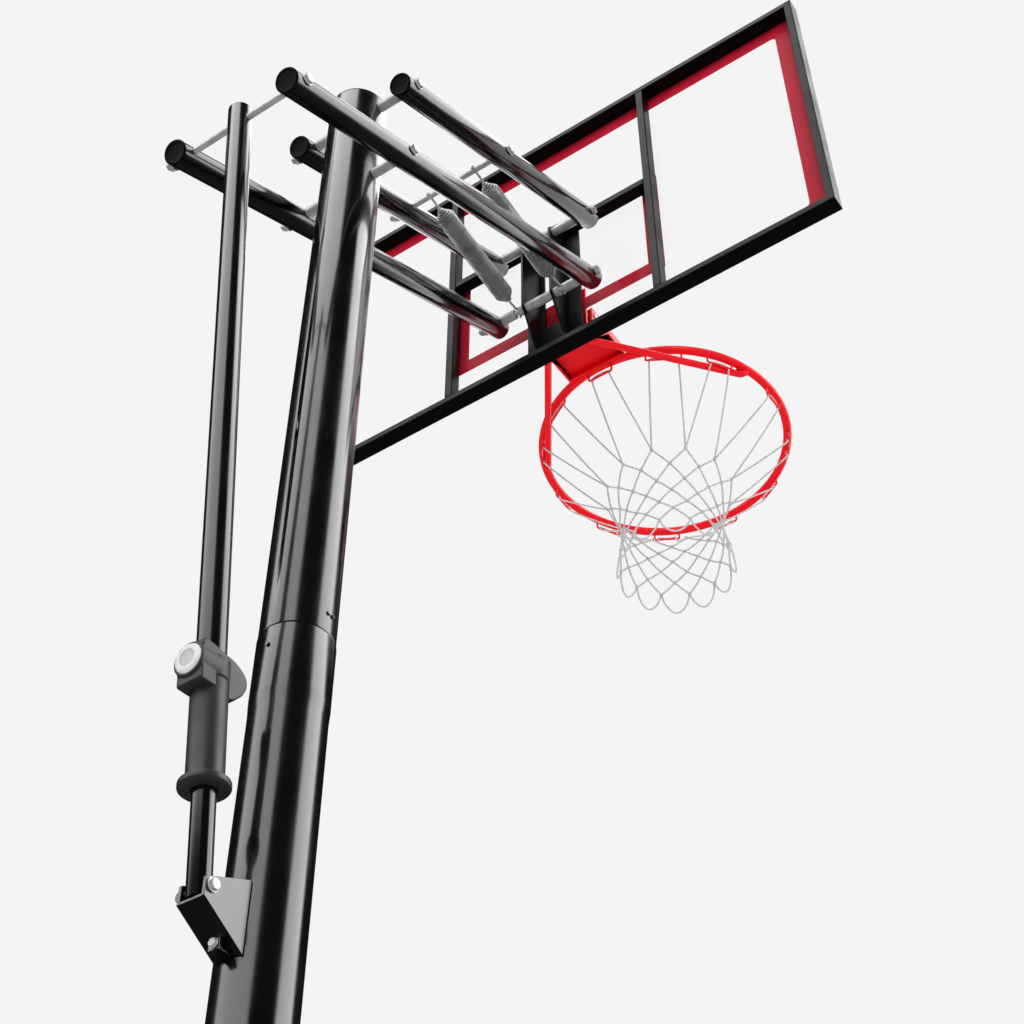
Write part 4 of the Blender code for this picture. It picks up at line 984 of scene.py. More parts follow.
def piece(
    name: str,
    mesh: Mesh,
    body: Optional[Body],
    materials: Sequence[Material] = (),
    replaces: Sequence[str] = (),
) -> Object:
    """Add a finished piece.

    Args:
        name: the piece's name.
        mesh: its mesh, in the row frame.
        body: the CAD body that it rides on, or None for one that is blended.
        materials: finishes, where the mesh has none yet.
        replaces: CAD nodes that it stands for.

    Returns:
        The piece's object.
    """
    mesh.name = name
    if materials:
        mesh.materials.clear()
        for material in materials:
            mesh.materials.append(material)
    made = linked(name, mesh)
    if body:
        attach(made, body.value)
    if replaces:
        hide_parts(*replaces)
    log.info("%s: %d faces on %s", name, len(mesh.polygons), body.value if body else "two bodies")
    return made


class Workshop:
    """The trees and fastener shapes that the assemblies share."""

    def __init__(self, palette: Palette) -> None:
        """Build the trees, and the shapes that they set out.

        Args:
            palette: the finished materials.
        """
        self.palette = palette
        self.wires = wire_tree()
        self.coils = coil_tree()
        self.fasteners = fastener_tree()
        self.head = self.hidden("hex_head", self.hex_shape(0.0, 0.006))
        self.nut = self.hidden("hex_nut", self.hex_shape(0.0052, 0.008))

    def hidden(self, name: str, mesh: Mesh) -> Object:
        """Keep a shape as an object outside the scene."""
        return bpy.data.objects.new(name, mesh)

    def hex_shape(self, stub: float, height: float) -> Mesh:
        """A chamfered hexagon on a washer, and a threaded stub through it where stub isn't 0.

        Args:
            stub: radius of the thread's crest.
            height: height of the hexagon's top.

        Returns:
            The fastener's mesh, its bearing face at Z 0.
        """
        base, washer, corner, sides = 0.0012, 0.0098, 0.00825, 48
        half, side = math.pi / 6, math.pi / 3
        apothem = corner * math.cos(half)
        bm = bmesh.new()
        reach = [apothem / math.cos((turn + half) % side - half) for turn in turns(sides)]
        drops = [0.55 * max(0.0, edge - 0.985 * apothem) for edge in reach]
        levels = [
            [(edge, base) for edge in reach],
            [(edge, height - drop) for edge, drop in zip(reach, drops)],
            [(0.97 * apothem, height)] * sides,
            [(0.60 * apothem, height - 0.0002)] * sides,
        ]
        rings = [
            [bm.verts.new((x * r, y * r, z)) for (x, y), (r, z) in zip(circle(1.0, sides), level)]
            for level in levels
        ]
        for low, high in zip(rings, rings[1:]):
            span(bm, low, high)
        bm.faces.new(rings[-1])
        bm.faces.new(rings[0][::-1])
        ring = rounded(solid(washer, 0.0, base), 0.0004, 2, closed=False)
        parts = [settle(bm, 25.0), lathe(ring, Matrix(), sides, False)]
        if stub:
            crest, root, pitch = stub * 0.92, stub * 0.78, 0.00125
            level = height - 0.001
            thread = [(0.0, level)]
            while level < height + 0.0032:
                thread += [(root, level), (crest, level + pitch / 2)]
                level += pitch
            thread += [(root * 0.9, height + 0.0040), (0.0, height + 0.0040)]
            parts.append(lathe(thread, Matrix(), 32, closed=False))
        return merged(*parts)

    def bolt_set(self, places: Iterable["Bolt"]) -> Mesh:
        """Heads, nuts and shanks of some bolts along X, as one mesh.

        Args:
            places: the bolts.

        Returns:
            The bolts' mesh.
        """
        heads, nuts, shanks = [], [], []
        for bolt in places:
            heads.append((bolt.centre + X_AXIS * bolt.reach, X_AXIS, bolt.size))
            nuts.append((bolt.centre - X_AXIS * bolt.reach, -X_AXIS, bolt.size))
            ends = [bolt.centre + X_AXIS * (bolt.reach * side) for side in (1, -1)]
            shanks.append(Path([ends[0], ends[0].lerp(ends[1], 0.5), ends[1]]))
        meshes = [self.spread(self.head, heads), self.spread(self.nut, nuts)]
        meshes.append(self.wire("shanks", shanks, BOLT_RADIUS, self.palette.zinc, sides=24, spacing=0.04))
        return merged(*meshes)

    def spread(self, shape: Object, places: Sequence[tuple[Vector, Vector, float]]) -> Mesh:
        """Set a fastener at each place, aim and size.

        Args:
            shape: the fastener.
            places: place, aim and size of each one.

        Returns:
            All of them as one mesh.
        """
        mesh = bpy.data.meshes.new("places")
        mesh.from_pydata([tuple(place) for place, _, _ in places], [], [])
        aims = mesh.attributes.new("aim", "FLOAT_VECTOR", "POINT")
        sizes = mesh.attributes.new("size", "FLOAT_VECTOR", "POINT")
        for number, (_, aim, size) in enumerate(places):
            aims.data[number].vector = aim
            sizes.data[number].vector = (size, size, size)
        return self.fasteners.run("fasteners", mesh, self.palette.zinc, Fastener=shape)

    def wire(
        self,
        name: str,
        paths: Sequence[Path],
        radius: float,
        material: Material,
        sides: int = 12,
        spacing: float = 0.002,
        knots: Sequence[tuple[Vector, Vector]] = (),
        knot: Optional[Object] = None,
    ) -> Mesh:
        """Round wire along each path.

        Args:
            name: the mesh's name.
            paths: what the wires follow.
            radius: the wire's radius.
            material: its finish.
            sides: sides of its section.
            spacing: distance between its rings.
            knots: place and turn of each knot.
            knot: the object that holds one knot's path.

        Returns:
            The wires as one mesh.
        """
        source = paths_mesh(paths, knots)
        sizes = dict(Radius=radius, Spacing=spacing, Sides=float(sides))
        return self.wires.run(name, source, material, Knot=knot, **sizes)

    def coil(self, name: str, place: Matrix, radius: float, **sizes: float) -> Mesh:
        """A wound spring at a place, up the place's Z, straight where no other neck is given.

        Args:
            name: the mesh's name.
            place: where the spring starts.
            radius: the coils' radius.
            sizes: the other inputs of the tree.

        Returns:
            The spring's mesh.
        """
        sizes = dict(Radius=radius, Neck=radius, Cone=0.001) | sizes
        mesh = self.coils.run(name, bpy.data.meshes.new("nothing"), self.palette.spring, **sizes)
        mesh.transform(place)
        return mesh


@dataclass
class Assembly:
    """Something that the workshop builds."""

    shop: Workshop

    @property
    def palette(self) -> Palette:
        """The workshop's materials."""
        return self.shop.palette

    def add(self, name: str, mesh: Mesh, body: Body, slot: Slot, *replaces: str) -> Object:
        """Add a piece that wears its slot's usual material."""
        return piece(name, mesh, body, [self.palette.usual[slot]], replaces)


@dataclass(frozen=True)
class Bolt:
    """A bolt along X, with the distance from its centre to what its head and nut bear on."""

    centre: Vector
    reach: float = 0.1193
    size: float = 1.0


def bolt_nodes(*places: str) -> list[str]:
    """Names of the bolt and nut nodes at some places."""
    return [f"{place}_{part}" for place in places for part in ("bolt", "nut")]


@dataclass
class Pole(Assembly):
    """Three pole sections with flared sockets, their cap and the pivots' spacers."""

    wall: float = 0.0023
    # A flared socket's outer radius, its depth without and with the flare, and the spigot's length
    socket: float = 0.0453
    depths: tuple[float, float] = (0.090, 0.108)
    spigot: float = 0.088
    top: float = 2.949929
    upper_seam: float = 1.819929
    lower_seam: float = 0.609929
    foot: float = -0.610
    stop_holes: tuple[float, float] = (2.182929, 2.138929)
    # Azimuth and height of each seam screw, and the size of its head against a pivot bolt's
    seam_screws: tuple = ((-91.0, 1.7938), (-1.7, 1.8496), (8.2, 1.8496), (178.3, 1.8496), (188.2, 1.8496))
    screw_size: float = 0.34
    spacer_ends: tuple[float, float] = (0.0448, 0.0807)
    spacer_radius: float = 0.0081
    # The lift bracket's ears, from the middle, and the height, half width and rear face of its boss
    ear_faces: tuple[float, float] = (0.0135, 0.0175)
    boss: tuple[float, float, float] = (1.4035, 0.0075, -0.0650)

    def section(self, name: str, low: float, high: float, spigot: bool, socket: bool) -> None:
        """Turn one pole section.

        Args:
            name: the CAD node that it replaces.
            low: its lower shoulder.
            high: its upper end.
            spigot: whether it goes into the section below.
            socket: whether its upper end is flared.
        """
        r, wall = POLE_RADIUS, self.wall
        inner = r - wall
        outside, inside = [(r, high)], [(inner, high)]
        if socket:
            (straight, flared), bore = self.depths, self.socket - wall
            outside = [(self.socket, high), (self.socket, high - straight), (r, high - flared)]
            inside = [(inner, high - flared), (bore, high - straight), (bore, high)]
        if spigot:
            neck, end = self.socket - wall - GAP, low - self.spigot
            outside += [(r, low + wall), (neck, low), (neck, end)]
            inside = [(neck - wall, end), (neck - wall, low), (inner, low + wall)] + inside
        else:
            outside.append((r, low))
            inside.insert(0, (inner, low))
        mesh = lathe(rounded(outside + inside, 0.0009, 3), Matrix(), 128)
        if name == "pole_top":
            mesh = self.drilled(mesh)
        self.add(f"{name}_tube", mesh, Body.POLE, Slot.BLACK_PAINT, name)

    def drilled(self, mesh: Mesh) -> Mesh:
        """Drill the two stop holes through the rear wall.

        Args:
            mesh: the top section.

        Returns:
            The drilled section.
        """
        holes = [
            prism(circle(0.0030, 24), looking((0.0, 0.0, z), -Y_AXIS), 0.02, 0.06)
            for z in self.stop_holes
        ]
        return bored(mesh, merged(*holes))

    def cap(self) -> None:
        """Turn the domed plug in the pole's top."""
        r, low = POLE_RADIUS, self.top + GAP
        skirt, bore, deep = r - 0.0026, r - 0.0056, -0.013
        levels = [(0.0, 0.006), (0.5 * r, 0.0056), (0.86 * r, 0.0042), (r, 0.0018), (r, 0.0)]
        levels += [(skirt, 0.0), (skirt, deep), (bore, deep), (bore, 0.0), (0.0, 0.0)]
        profile = [(radius, low + height) for radius, height in levels]
        mesh = lathe(rounded(profile, 0.0012, 4, closed=False), Matrix(), 96, closed=False)
        self.add("pole_cap_plug", mesh, Body.POLE, Slot.BLACK_PLASTIC, "pole_cap")

    def hardware(self) -> None:
        """Pivot bolts, the lift foot's bolt, the bracket's bolt, the seam's screws and the spacers."""
        bolts = [Bolt(PIVOTS.upper), Bolt(PIVOTS.lower), Bolt(PIVOTS.lift_foot, reach=0.0178, size=0.8)]
        level, _, tip = self.boss
        head = Vector((0.0, tip - 0.0004, level)), -Y_AXIS, 0.58
        shank = Path([Vector((0.0, y, level)) for y in (tip, -0.050, -0.0365)])
        parts = [self.shop.bolt_set(bolts), self.shop.spread(self.shop.head, [head])]
        zinc = self.palette.zinc
        parts.append(self.shop.wire("bracket_shank", [shank], 0.004, zinc, sides=20, spacing=0.01))
        start, end = self.spacer_ends
        for pivot in (PIVOTS.upper, PIVOTS.lower):
            for side in Side:
                parts.append(spacer(pivot, side.value * start, side.value * end, self.spacer_radius))
        nodes = bolt_nodes("upper_pivot", "lower_pivot", "lift_foot") + ["bracket_bolt"]
        nodes += [f"{level}_spacer_{side.word}" for level in ("upper", "lower") for side in Side]
        self.add("pole_hardware", merged(*parts), Body.POLE, Slot.ZINC, *nodes)
        screws = []
        for turn, z in self.seam_screws:
            out = Vector((math.cos(math.radians(turn)), math.sin(math.radians(turn)), 0.0))
            radius = self.socket if z < self.upper_seam else POLE_RADIUS
            screws.append((out * radius + Z_AXIS * z, out, self.screw_size))
        mesh = self.shop.spread(self.shop.head, screws)
        self.add("seam_screws", mesh, Body.POLE, Slot.BLACK_PAINT)

    def bracket(self) -> None:
        """Fold the lift's bracket: two ears, the sloping web between them and the boss of its bolt."""
        inner, outer = self.ear_faces
        foot = PIVOTS.lift_foot
        front, rear = -math.sqrt(POLE_RADIUS**2 - inner**2) - GAP, foot.y - 0.0095
        top, low = foot.z - 0.0155, foot.z - 0.0495
        ear = [(front, foot.z + 0.0345), (rear, foot.z + 0.0060), (rear, top), (front, low)]
        slope = (top - low) / (front - rear)
        end, sunk = -POLE_RADIUS - GAP, 0.0003
        foot_z = low + (front - end) * slope + sunk
        back = rear + sunk
        web = [(back, top), (end, foot_z), (end, foot_z + 0.0034), (back, top + 0.0030)]
        level, half, tip = self.boss
        block = [(tip, level - half), (end, level - half), (end, level + half), (tip, level + half)]
        parts = [prism(ear, SIDE_ON, side * inner, side * outer, bevel=0.0006) for side in (-1, 1)]
        parts.append(prism(web, SIDE_ON, -inner - sunk, inner + sunk, bevel=0.0004))
        parts.append(prism(block, SIDE_ON, -half, half, bevel=0.0010))
        mesh = even_shading(merged(*parts))
        self.add("lift_bracket_plate", mesh, Body.POLE, Slot.BLACK_PAINT, "lift_bracket")

    def build(self) -> None:
        """Build the whole pole."""
        self.section("pole_bottom", self.foot, self.lower_seam, False, True)
        self.section("pole_middle", self.lower_seam + GAP, self.upper_seam, True, True)
        self.section("pole_top", self.upper_seam + GAP, self.top, True, False)
        self.cap()
        self.hardware()
        self.bracket()


def spacer(pivot: Vector, start: float, end: float, outer: float) -> Mesh:
    """Turn a spacer tube along X, between two distances from a pivot."""
    bore = 0.0050
    return pipe((outer, bore), sorted((start, end)), 0.0006, looking(pivot, X_AXIS), 48)


@dataclass
class Arms(Assembly):
    """One pair of parallel arms with their end caps and cross bolt."""

    body: Body
    pivot: Vector
    tail: float
    cross_bolt: Vector
    cross: str
    front: float = 0.614
    wall: float = 0.0016

    def build(self) -> None:
        """Turn both arms and their caps, and set their cross bolt."""
        along = Vector((0.0, math.cos(ARM_RISE), math.sin(ARM_RISE)))
        for side in Side:
            place = looking(self.pivot + X_AXIS * (side.value * ARM_SIDE), along)
            name = f"{self.body.value[:-1]}_{side.word}"
            radii = ARM_RADIUS, ARM_RADIUS - self.wall
            mesh = pipe(radii, (-self.tail, self.front), 0.0005, place)
            self.add(f"{name}_tube", mesh, self.body, Slot.BLACK_PAINT, name)
            caps = [self.cap(place, self.front, 1), self.cap(place, -self.tail, -1)]
            node = name.replace("_arm_", "_arm_cap_")
            self.add(f"{name}_plugs", merged(*caps), self.body, Slot.BLACK_PLASTIC, node)
        bolt = self.shop.bolt_set([Bolt(self.cross_bolt)])
        nodes = bolt_nodes(self.cross)
        self.add(f"{self.body.value}_bolt", bolt, self.body, Slot.ZINC, *nodes)

    def cap(self, place: Matrix, end: float, way: int) -> Mesh:
        """Turn a ribbed end plug.

        Args:
            place: the arm's place.
            end: distance of the tube's end along the arm.
            way: 1 for the front end, -1 for the rear one.

        Returns:
            The plug's mesh.
        """
        r, plug = ARM_RADIUS, ARM_RADIUS - self.wall - GAP
        depths = [(plug - 0.002, -0.010), (plug, -0.008), (plug, GAP), (r, GAP), (r, 0.0014)]
        depths += [(r - 0.0012, 0.0028), (r - 0.0035, 0.0031), (r - 0.0048, 0.0020), (0.0, 0.0018)]
        profile = [(0.0, end - way * 0.010)] + [(radius, end + way * depth) for radius, depth in depths]
        return lathe(rounded(profile, 0.0006, 3, closed=False), place, 72, closed=False)


@dataclass
class Springs(Assembly):
    """Two counterbalance springs with their hooks."""

    # How far each spring is from the middle, and how far its coil starts from its rods
    across: float = 0.047
    start: float = 0.030
    coil_radius: float = 0.01575
    wire: float = 0.00172
    hook_wire: float = 0.0022
    top_bend: float = 0.0072
    foot_bend: float = 0.0085
    turns: float = 60.5

    def build(self) -> None:
        """Wind both springs and bend their hooks."""
        for side in Side:
            top = PIVOTS.anchor + X_AXIS * (side.value * self.across)
            foot = PIVOTS.front_lower + X_AXIS * (side.value * self.across)
            along = (foot - top).normalized()
            length = (foot - top).length - 2 * self.start
            first, last = top + along * self.start, foot - along * self.start
            upper = Body[f"SPRING_{side.name}"]
            lower = Body[f"SPRING_{side.name}_FOOT"]
            sizes = dict(Neck=0.0042, Cone=0.018, Wire=self.wire, Turns=self.turns, Steps=self.turns * 18)
            mesh = self.shop.coil("coil", looking(first, along), self.coil_radius, Length=length, **sizes)
            name = f"spring_{side.word}"
            coil = piece(f"{name}_coil", mesh, None, (), [name])
            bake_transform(coil)
            hook = self.hook(top, along, self.top_bend)
            piece(f"{name}_top_hook", hook, upper, [self.palette.zinc])
            hook = self.hook(foot, -along, self.foot_bend)
            self.add(f"{name}_foot_hook", hook, lower, Slot.ZINC, f"spring_foot_hook_{side.word}")

    def hook(self, centre: Vector, along: Vector, radius: float) -> Mesh:
        """Bend a hook over a rod.

        Args:
            centre: the rod's centre.
            along: direction from the rod to the coil.
            radius: radius of the bend's centre line.

        Returns:
            The hook's mesh.
        """
        over = along.cross(X_AXIS).normalized()
        if over.z < 0:
            over.negate()
        bend = [math.radians(angle) for angle in range(20, 181, 16)]
        line = [(self.start + 0.007, 0.0), (0.024, 0.0), (0.016, 0.002)]
        line += [(radius * math.cos(turn), radius * math.sin(turn)) for turn in bend]
        line.append((-radius * 0.9, -radius * 0.45))
        path = Path([centre + along * out + over * up for out, up in line])
        return self.shop.wire("hook", [path], self.hook_wire, self.palette.zinc, sides=14, spacing=0.0012)


@dataclass
class Board(Assembly):
    """Clear panel with its printed lines, rails, bars, bracket and front pivots."""

    half_width: float = 0.5588
    bottom: float = 2.921
    top: float = 3.5814
    rail: float = 0.015
    back: float = 0.549024
    front: float = 0.579024
    # The printed film's front face, and the border's width
    film_front: float = 0.5773
    border: float = 0.037
    # The target's half width, foot and head
    target: tuple[float, float, float] = (0.228, 3.0165, 3.301)
    target_line: float = 0.033
    # The bracket's side plates and the spring hooks' gap, from the middle
    bracket_faces: tuple[float, float] = (0.028, 0.032)
    hook_gap: tuple[float, float] = (0.0418, 0.0522)
    sleeve: float = 0.0090
    # Both faces of the upright bars and of the cross bar, where they are welded
    upright_faces: tuple[float, float] = (0.2128, 0.2292)
    cross_faces: tuple[float, float] = (3.2540, 3.2710)

    def build(self) -> None:
        """Build the board's pieces."""
        panel = refined("backboard_panel", bevel=0.0003, segments=2)
        self.add("clear_panel_sheet", panel, Body.BOARD, Slot.CLEAR, "backboard_panel")
        self.print_lines()
        middle = (self.bottom + self.top) / 2
        height = self.top - self.bottom
        rails = (
            ("bottom", 2 * self.half_width, (0.0, 0.0, self.bottom), 0.0),
            ("top", 2 * self.half_width, (0.0, 0.0, self.top), math.pi),
            ("left", height, (-self.half_width, 0.0, middle), math.pi / 2),
            ("right", height, (self.half_width, 0.0, middle), -math.pi / 2),
        )
        for side, length, place, turn in rails:
            stand = Matrix.Translation(place) @ Matrix.Rotation(turn, 4, "Y")
            mesh = self.rail_mesh(length, stand)
            self.add(f"rail_{side}", mesh, Body.BOARD, Slot.FRAME_MOULDING, f"frame_{side}")
        for node in ("upright_bar_left", "upright_bar_right", "cross_bar"):
            mesh = refined(node, bevel=0.0022, segments=4)
            self.add(f"{node}_tube", mesh, Body.BOARD, Slot.FRAME_MOULDING, node)
        bracket = refined("board_bracket", bevel=0.0009, segments=2)
        satin = [self.palette.frame]
        piece("bracket_plates", bracket, Body.BOARD, satin, ["board_bracket"])
        mount = refined("rim_mount_plate", bevel=0.0008, segments=2)
        self.add("rim_mount", mount, Body.BOARD, Slot.RED_PAINT, "rim_mount_plate")
        self.welds()
        self.hardware()

    def rail_mesh(self, length: float, stand: Matrix) -> Mesh:
        """One frame rail along X with mitred ends, its outer corners rounded and its slot for the panel.

        Args:
            length: the rail's outer length.
            stand: where it stands.

        Returns:
            The rail's mesh.
        """
        back, front, rail = self.back, self.front, self.rail
        slot = (BOARD_FACE + GAP, BOARD_FACE - 0.0043)
        deep = rail - 0.010
        outer = rounded([(back, rail), (back, 0.0), (front, 0.0), (front, rail)], 0.0028, 5, closed=False)
        section = [(back, rail - 0.001)] + [tuple(point) for point in outer[1:-1]]
        section += [(front, rail - 0.0005), (front - 0.0005, rail), (slot[0], rail), (slot[0], deep)]
        section += [(slot[1], deep), (slot[1], rail), (back + 0.0010, rail)]
        end = length / 2 - 0.0001
        bm = bmesh.new()
        first = [bm.verts.new((inward - end, depth, inward)) for depth, inward in section]
        last = [bm.verts.new((end - inward, depth, inward)) for depth, inward in section]
        bm.faces.new(first)
        bm.faces.new(last[::-1])
        span(bm, first, last)
        bm.transform(stand)
        return settle(bm, 35.0)

    def print_lines(self) -> None:
        """Red border and target rectangle, a thin film on the panel's face."""
        inset = self.rail + 0.0002
        across, low, high = self.half_width - inset, self.bottom + inset, self.top - inset
        border = self.film_frame((-across, low, across, high), self.border, 0.012)
        half, foot, head = self.target
        target = self.film_frame((-half, foot, half, head), self.target_line, 0.0)
        ink = [self.palette.ink]
        piece("printed_lines", merged(border, target), Body.BOARD, ink)

    def film_frame(self, box: tuple, width: float, corner: float) -> Mesh:
        """A flat rectangular line.

        Args:
            box: the line's outer left, bottom, right and top.
            width: the line's width.
            corner: radius of its inner corners.

        Returns:
            The film's mesh.
        """
        left, low, right, high = box
        outer = [(left, low), (right, low), (right, high), (left, high)]
        shift = ((1, 1), (-1, 1), (-1, -1), (1, -1))
        inner = [(x + width * a, z + width * b) for (x, z), (a, b) in zip(outer, shift)]
        steps = 6
        outer, plain = (
            [Vector(point) for point in line for _ in range(steps + 1)] for line in (outer, inner)
        )
        inner = rounded(inner, corner, steps) if corner else plain
        back, front = BOARD_FACE + 2e-5, self.film_front
        bm = bmesh.new()
        rings = [
            [bm.verts.new((point.x, depth, point.y)) for point in line]
            for line, depth in ((outer, back), (inner, back), (inner, front), (outer, front))
        ]
        for first, second in zip(rings, rings[1:] + rings[:1]):
            span(bm, first, second)
        bmesh.ops.remove_doubles(bm, verts=bm.verts, dist=1e-6)
        bmesh.ops.dissolve_degenerate(bm, edges=bm.edges, dist=1e-7)
        return settle(bm)

    def welds(self) -> None:
        """Weld beads where the bars meet the rails and the bracket meets its bars."""
        ends = [(x, z) for z in (self.bottom + self.rail, self.top - self.rail) for x in self.upright_faces]
        ends += [(self.upright_faces[0], z) for z in self.cross_faces]
        depths = [self.back + 0.003 + 0.004 * step for step in range(5)]
        paths = [Path([Vector((side.value * x, y, z)) for y in depths]) for side in Side for x, z in ends]
        mesh = self.shop.wire("welds", paths, 0.0011, self.palette.frame, sides=8, spacing=0.002)
        self.add("frame_welds", mesh, Body.BOARD, Slot.FRAME_MOULDING)

    def hardware(self) -> None:
        """The two front pivots' bolts, nuts and sleeves."""
        pivots = PIVOTS.front_upper, PIVOTS.front_lower
        inside, outside = self.bracket_faces[0] - GAP, self.bracket_faces[1] + GAP
        arm = ARM_SIDE - ARM_RADIUS - GAP
        parts = [self.shop.bolt_set([Bolt(pivot) for pivot in pivots])]
        parts += [spacer(pivot, -inside, inside, self.sleeve) for pivot in pivots]
        for side in Side:
            parts.append(spacer(PIVOTS.front_upper, side.value * outside, side.value * arm, self.sleeve))
            for start, end in ((outside, self.hook_gap[0]), (self.hook_gap[1], arm)):
                parts.append(spacer(PIVOTS.front_lower, side.value * start, side.value * end, self.sleeve))
        nodes = bolt_nodes("front_upper", "front_lower")
        self.add("front_hardware", merged(*parts), Body.BOARD, Slot.ZINC, *nodes)


@dataclass
class Rim(Assembly):
    """Breakaway rim: housing, ring with its net hooks, braces, hinge pin and springs."""

    radius: float = 0.2366
    rod: float = 0.008
    hook_wire: float = 0.002
    hook_foot: float = 3.0163
    # Angles of the hooks' legs, those of the sides for the right half only
    middle_hooks: tuple = ((-6, 6), (174, 186))
    side_hooks: tuple = ((22, 38), (50, 62), (84, 96), (114, 126), (144, 156))
    # The braces: where each leaves the housing, then angle and radius of its end and its tip on the ring
    brace_radius: float = 0.0065
    brace_foot: tuple = (0.0405, 0.60800, 2.9775)
    brace_end: tuple[float, float] = (68.2, 0.2312)
    brace_end_z: float = 3.0232
    brace_tip: tuple[float, float] = (70.6, 0.2352)
    brace_tip_z: float = 3.0320

    def around(self, angle: float, radius: float, z: float) -> Vector:
        """Place at an angle in degrees from the ring's board side towards +X."""
        turn = math.radians(angle)
        return Vector((radius * math.sin(turn), PIVOTS.ring.y - radius * math.cos(turn), z))

    def hook_angles(self) -> list[tuple[float, float]]:
        """Angles of both legs of each of the twelve wide hooks, in degrees."""
        left = tuple((-second, -first) for first, second in self.side_hooks)
        return list(self.middle_hooks + self.side_hooks + left)

    def hook_paths(self) -> list[Path]:
        """Centre lines of the hooks.

        Returns:
            One path for each hook.
        """
        head, foot = PIVOTS.ring.z - 0.004, self.hook_foot
        paths = []
        for first, second in self.hook_angles():
            legs = ((first, head), (first, foot), (second, foot), (second, head))
            corners = [self.around(angle, self.radius, z) for angle, z in legs]
            paths.append(Path(rounded(corners, 0.0045, 5, closed=False)))
        return paths

    def brace_paths(self) -> list[Path]:
        """Centre lines of the two braces, from the housing's foot to the ring.

        Returns:
            The left brace's path and the right one's.
        """
        paths, steps = [], 8
        for side in Side:
            end = self.around(side.value * self.brace_end[0], self.brace_end[1], self.brace_end_z)
            start = Vector((side.value * self.brace_foot[0], *self.brace_foot[1:]))
            tip = self.around(side.value * self.brace_tip[0], self.brace_tip[1], self.brace_tip_z)
            line = [start.lerp(end, step / steps) for step in range(steps + 1)]
            paths.append(Path(rounded(line + [tip], 0.010, 4, closed=False)))
        return paths

    def build(self) -> None:
        """Build the rim's pieces."""
        red, shop = self.palette.red, self.shop
        section = [(self.radius + out, up) for out, up in circle(self.rod, 24)]
        ring = lathe(section, Matrix.Translation(PIVOTS.ring), 160)
        hooks = shop.wire("net_hooks", self.hook_paths(), self.hook_wire, red, sides=10, spacing=0.0015)
        beads = shop.wire("hook_beads", self.hook_beads(), 0.0016, red, sides=8, spacing=0.001)
        self.add("ring_and_hooks", merged(ring, hooks, beads), Body.RIM, Slot.RED_PAINT, "rim_ring")
        for side, path in zip(Side, self.brace_paths()):
            brace = shop.wire("brace", [path], self.brace_radius, red, sides=20, spacing=0.003)
            mesh = merged(brace, self.brace_weld(side))
            name = f"rim_brace_{side.word}"
            self.add(f"{name}_rod", mesh, Body.RIM, Slot.RED_PAINT, name)
        housing = refined("rim_housing", bevel=0.0011, segments=3)
        self.add("rim_housing_shell", housing, Body.RIM, Slot.RED_PAINT, "rim_housing")
        self.pin()
        self.springs()

    def hook_beads(self) -> list[Path]:
        """Short weld beads where the hooks' legs meet the ring.

        Returns:
            One closed path for each leg.
        """
        level, radius = PIVOTS.ring.z - self.rod - 0.0004, 0.0021
        paths = []
        for angle in (angle for pair in self.hook_angles() for angle in pair):
            base = self.around(angle, self.radius, level)
            paths.append(Path([base + Vector((x, y, 0.0)) * radius for x, y in circle(1.0, 8)], True))
        return paths

    def brace_weld(self, side: Side) -> Mesh:
        """Lumpy bead along the last of a brace, where it is welded under the ring.

        Args:
            side: the brace's side.

        Returns:
            The bead's mesh.
        """
        paths = []
        turn, inward = self.brace_end
        for step in range(-7, 4):
            inset = inward + 0.0042 + 0.0002 * (step % 2)
            centre = self.around(side.value * (turn + step * 0.42), inset, self.brace_end_z + 0.0052)
            paths.append(Path([centre + Vector((0.0, 0.0, drop)) for drop in (-0.0016, 0.0, 0.0012)]))
        return self.shop.wire("brace_weld", paths, 0.0021, self.palette.red, sides=8, spacing=0.001)

    def pin(self) -> None:
        """Turn the hinge pin with its two round heads."""
        shoulder, head, shank = 0.0613, 0.0070, 0.0040
        dome = ((0.0, 0.0025), (0.6 * head, 0.0024), (head, 0.0010), (head, 0.0), (shank, 0.0))
        profile = [(radius, shoulder + height) for radius, height in dome]
        profile += [(radius, -height) for radius, height in reversed(profile)]
        profile = rounded(profile, 0.0004, 3, closed=False)
        mesh = lathe(profile, looking(PIVOTS.rim_pin, X_AXIS), 48, closed=False)
        self.add("rim_pin", mesh, Body.RIM, Slot.ZINC, "rim_hinge_pin")

    def springs(self) -> None:
        """Wind the two springs that hold the rim level, between the mount and the housing's foot."""
        for side in Side:
            low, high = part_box(f"rim_spring_{side.word}")
            start = Vector((side.value * 0.030, low.y + 0.0012, (low.z + high.z) / 2))
            sizes = dict(Length=high.y - low.y - 0.0024, Wire=0.0012, Turns=5.5, Steps=180.0)
            mesh = self.shop.coil("rim_coil", looking(start, Y_AXIS), 0.0073, **sizes)
            name = f"rim_spring_{side.word}"
            coil = piece(f"{name}_coil", mesh, None, (), [name])
            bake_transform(coil)


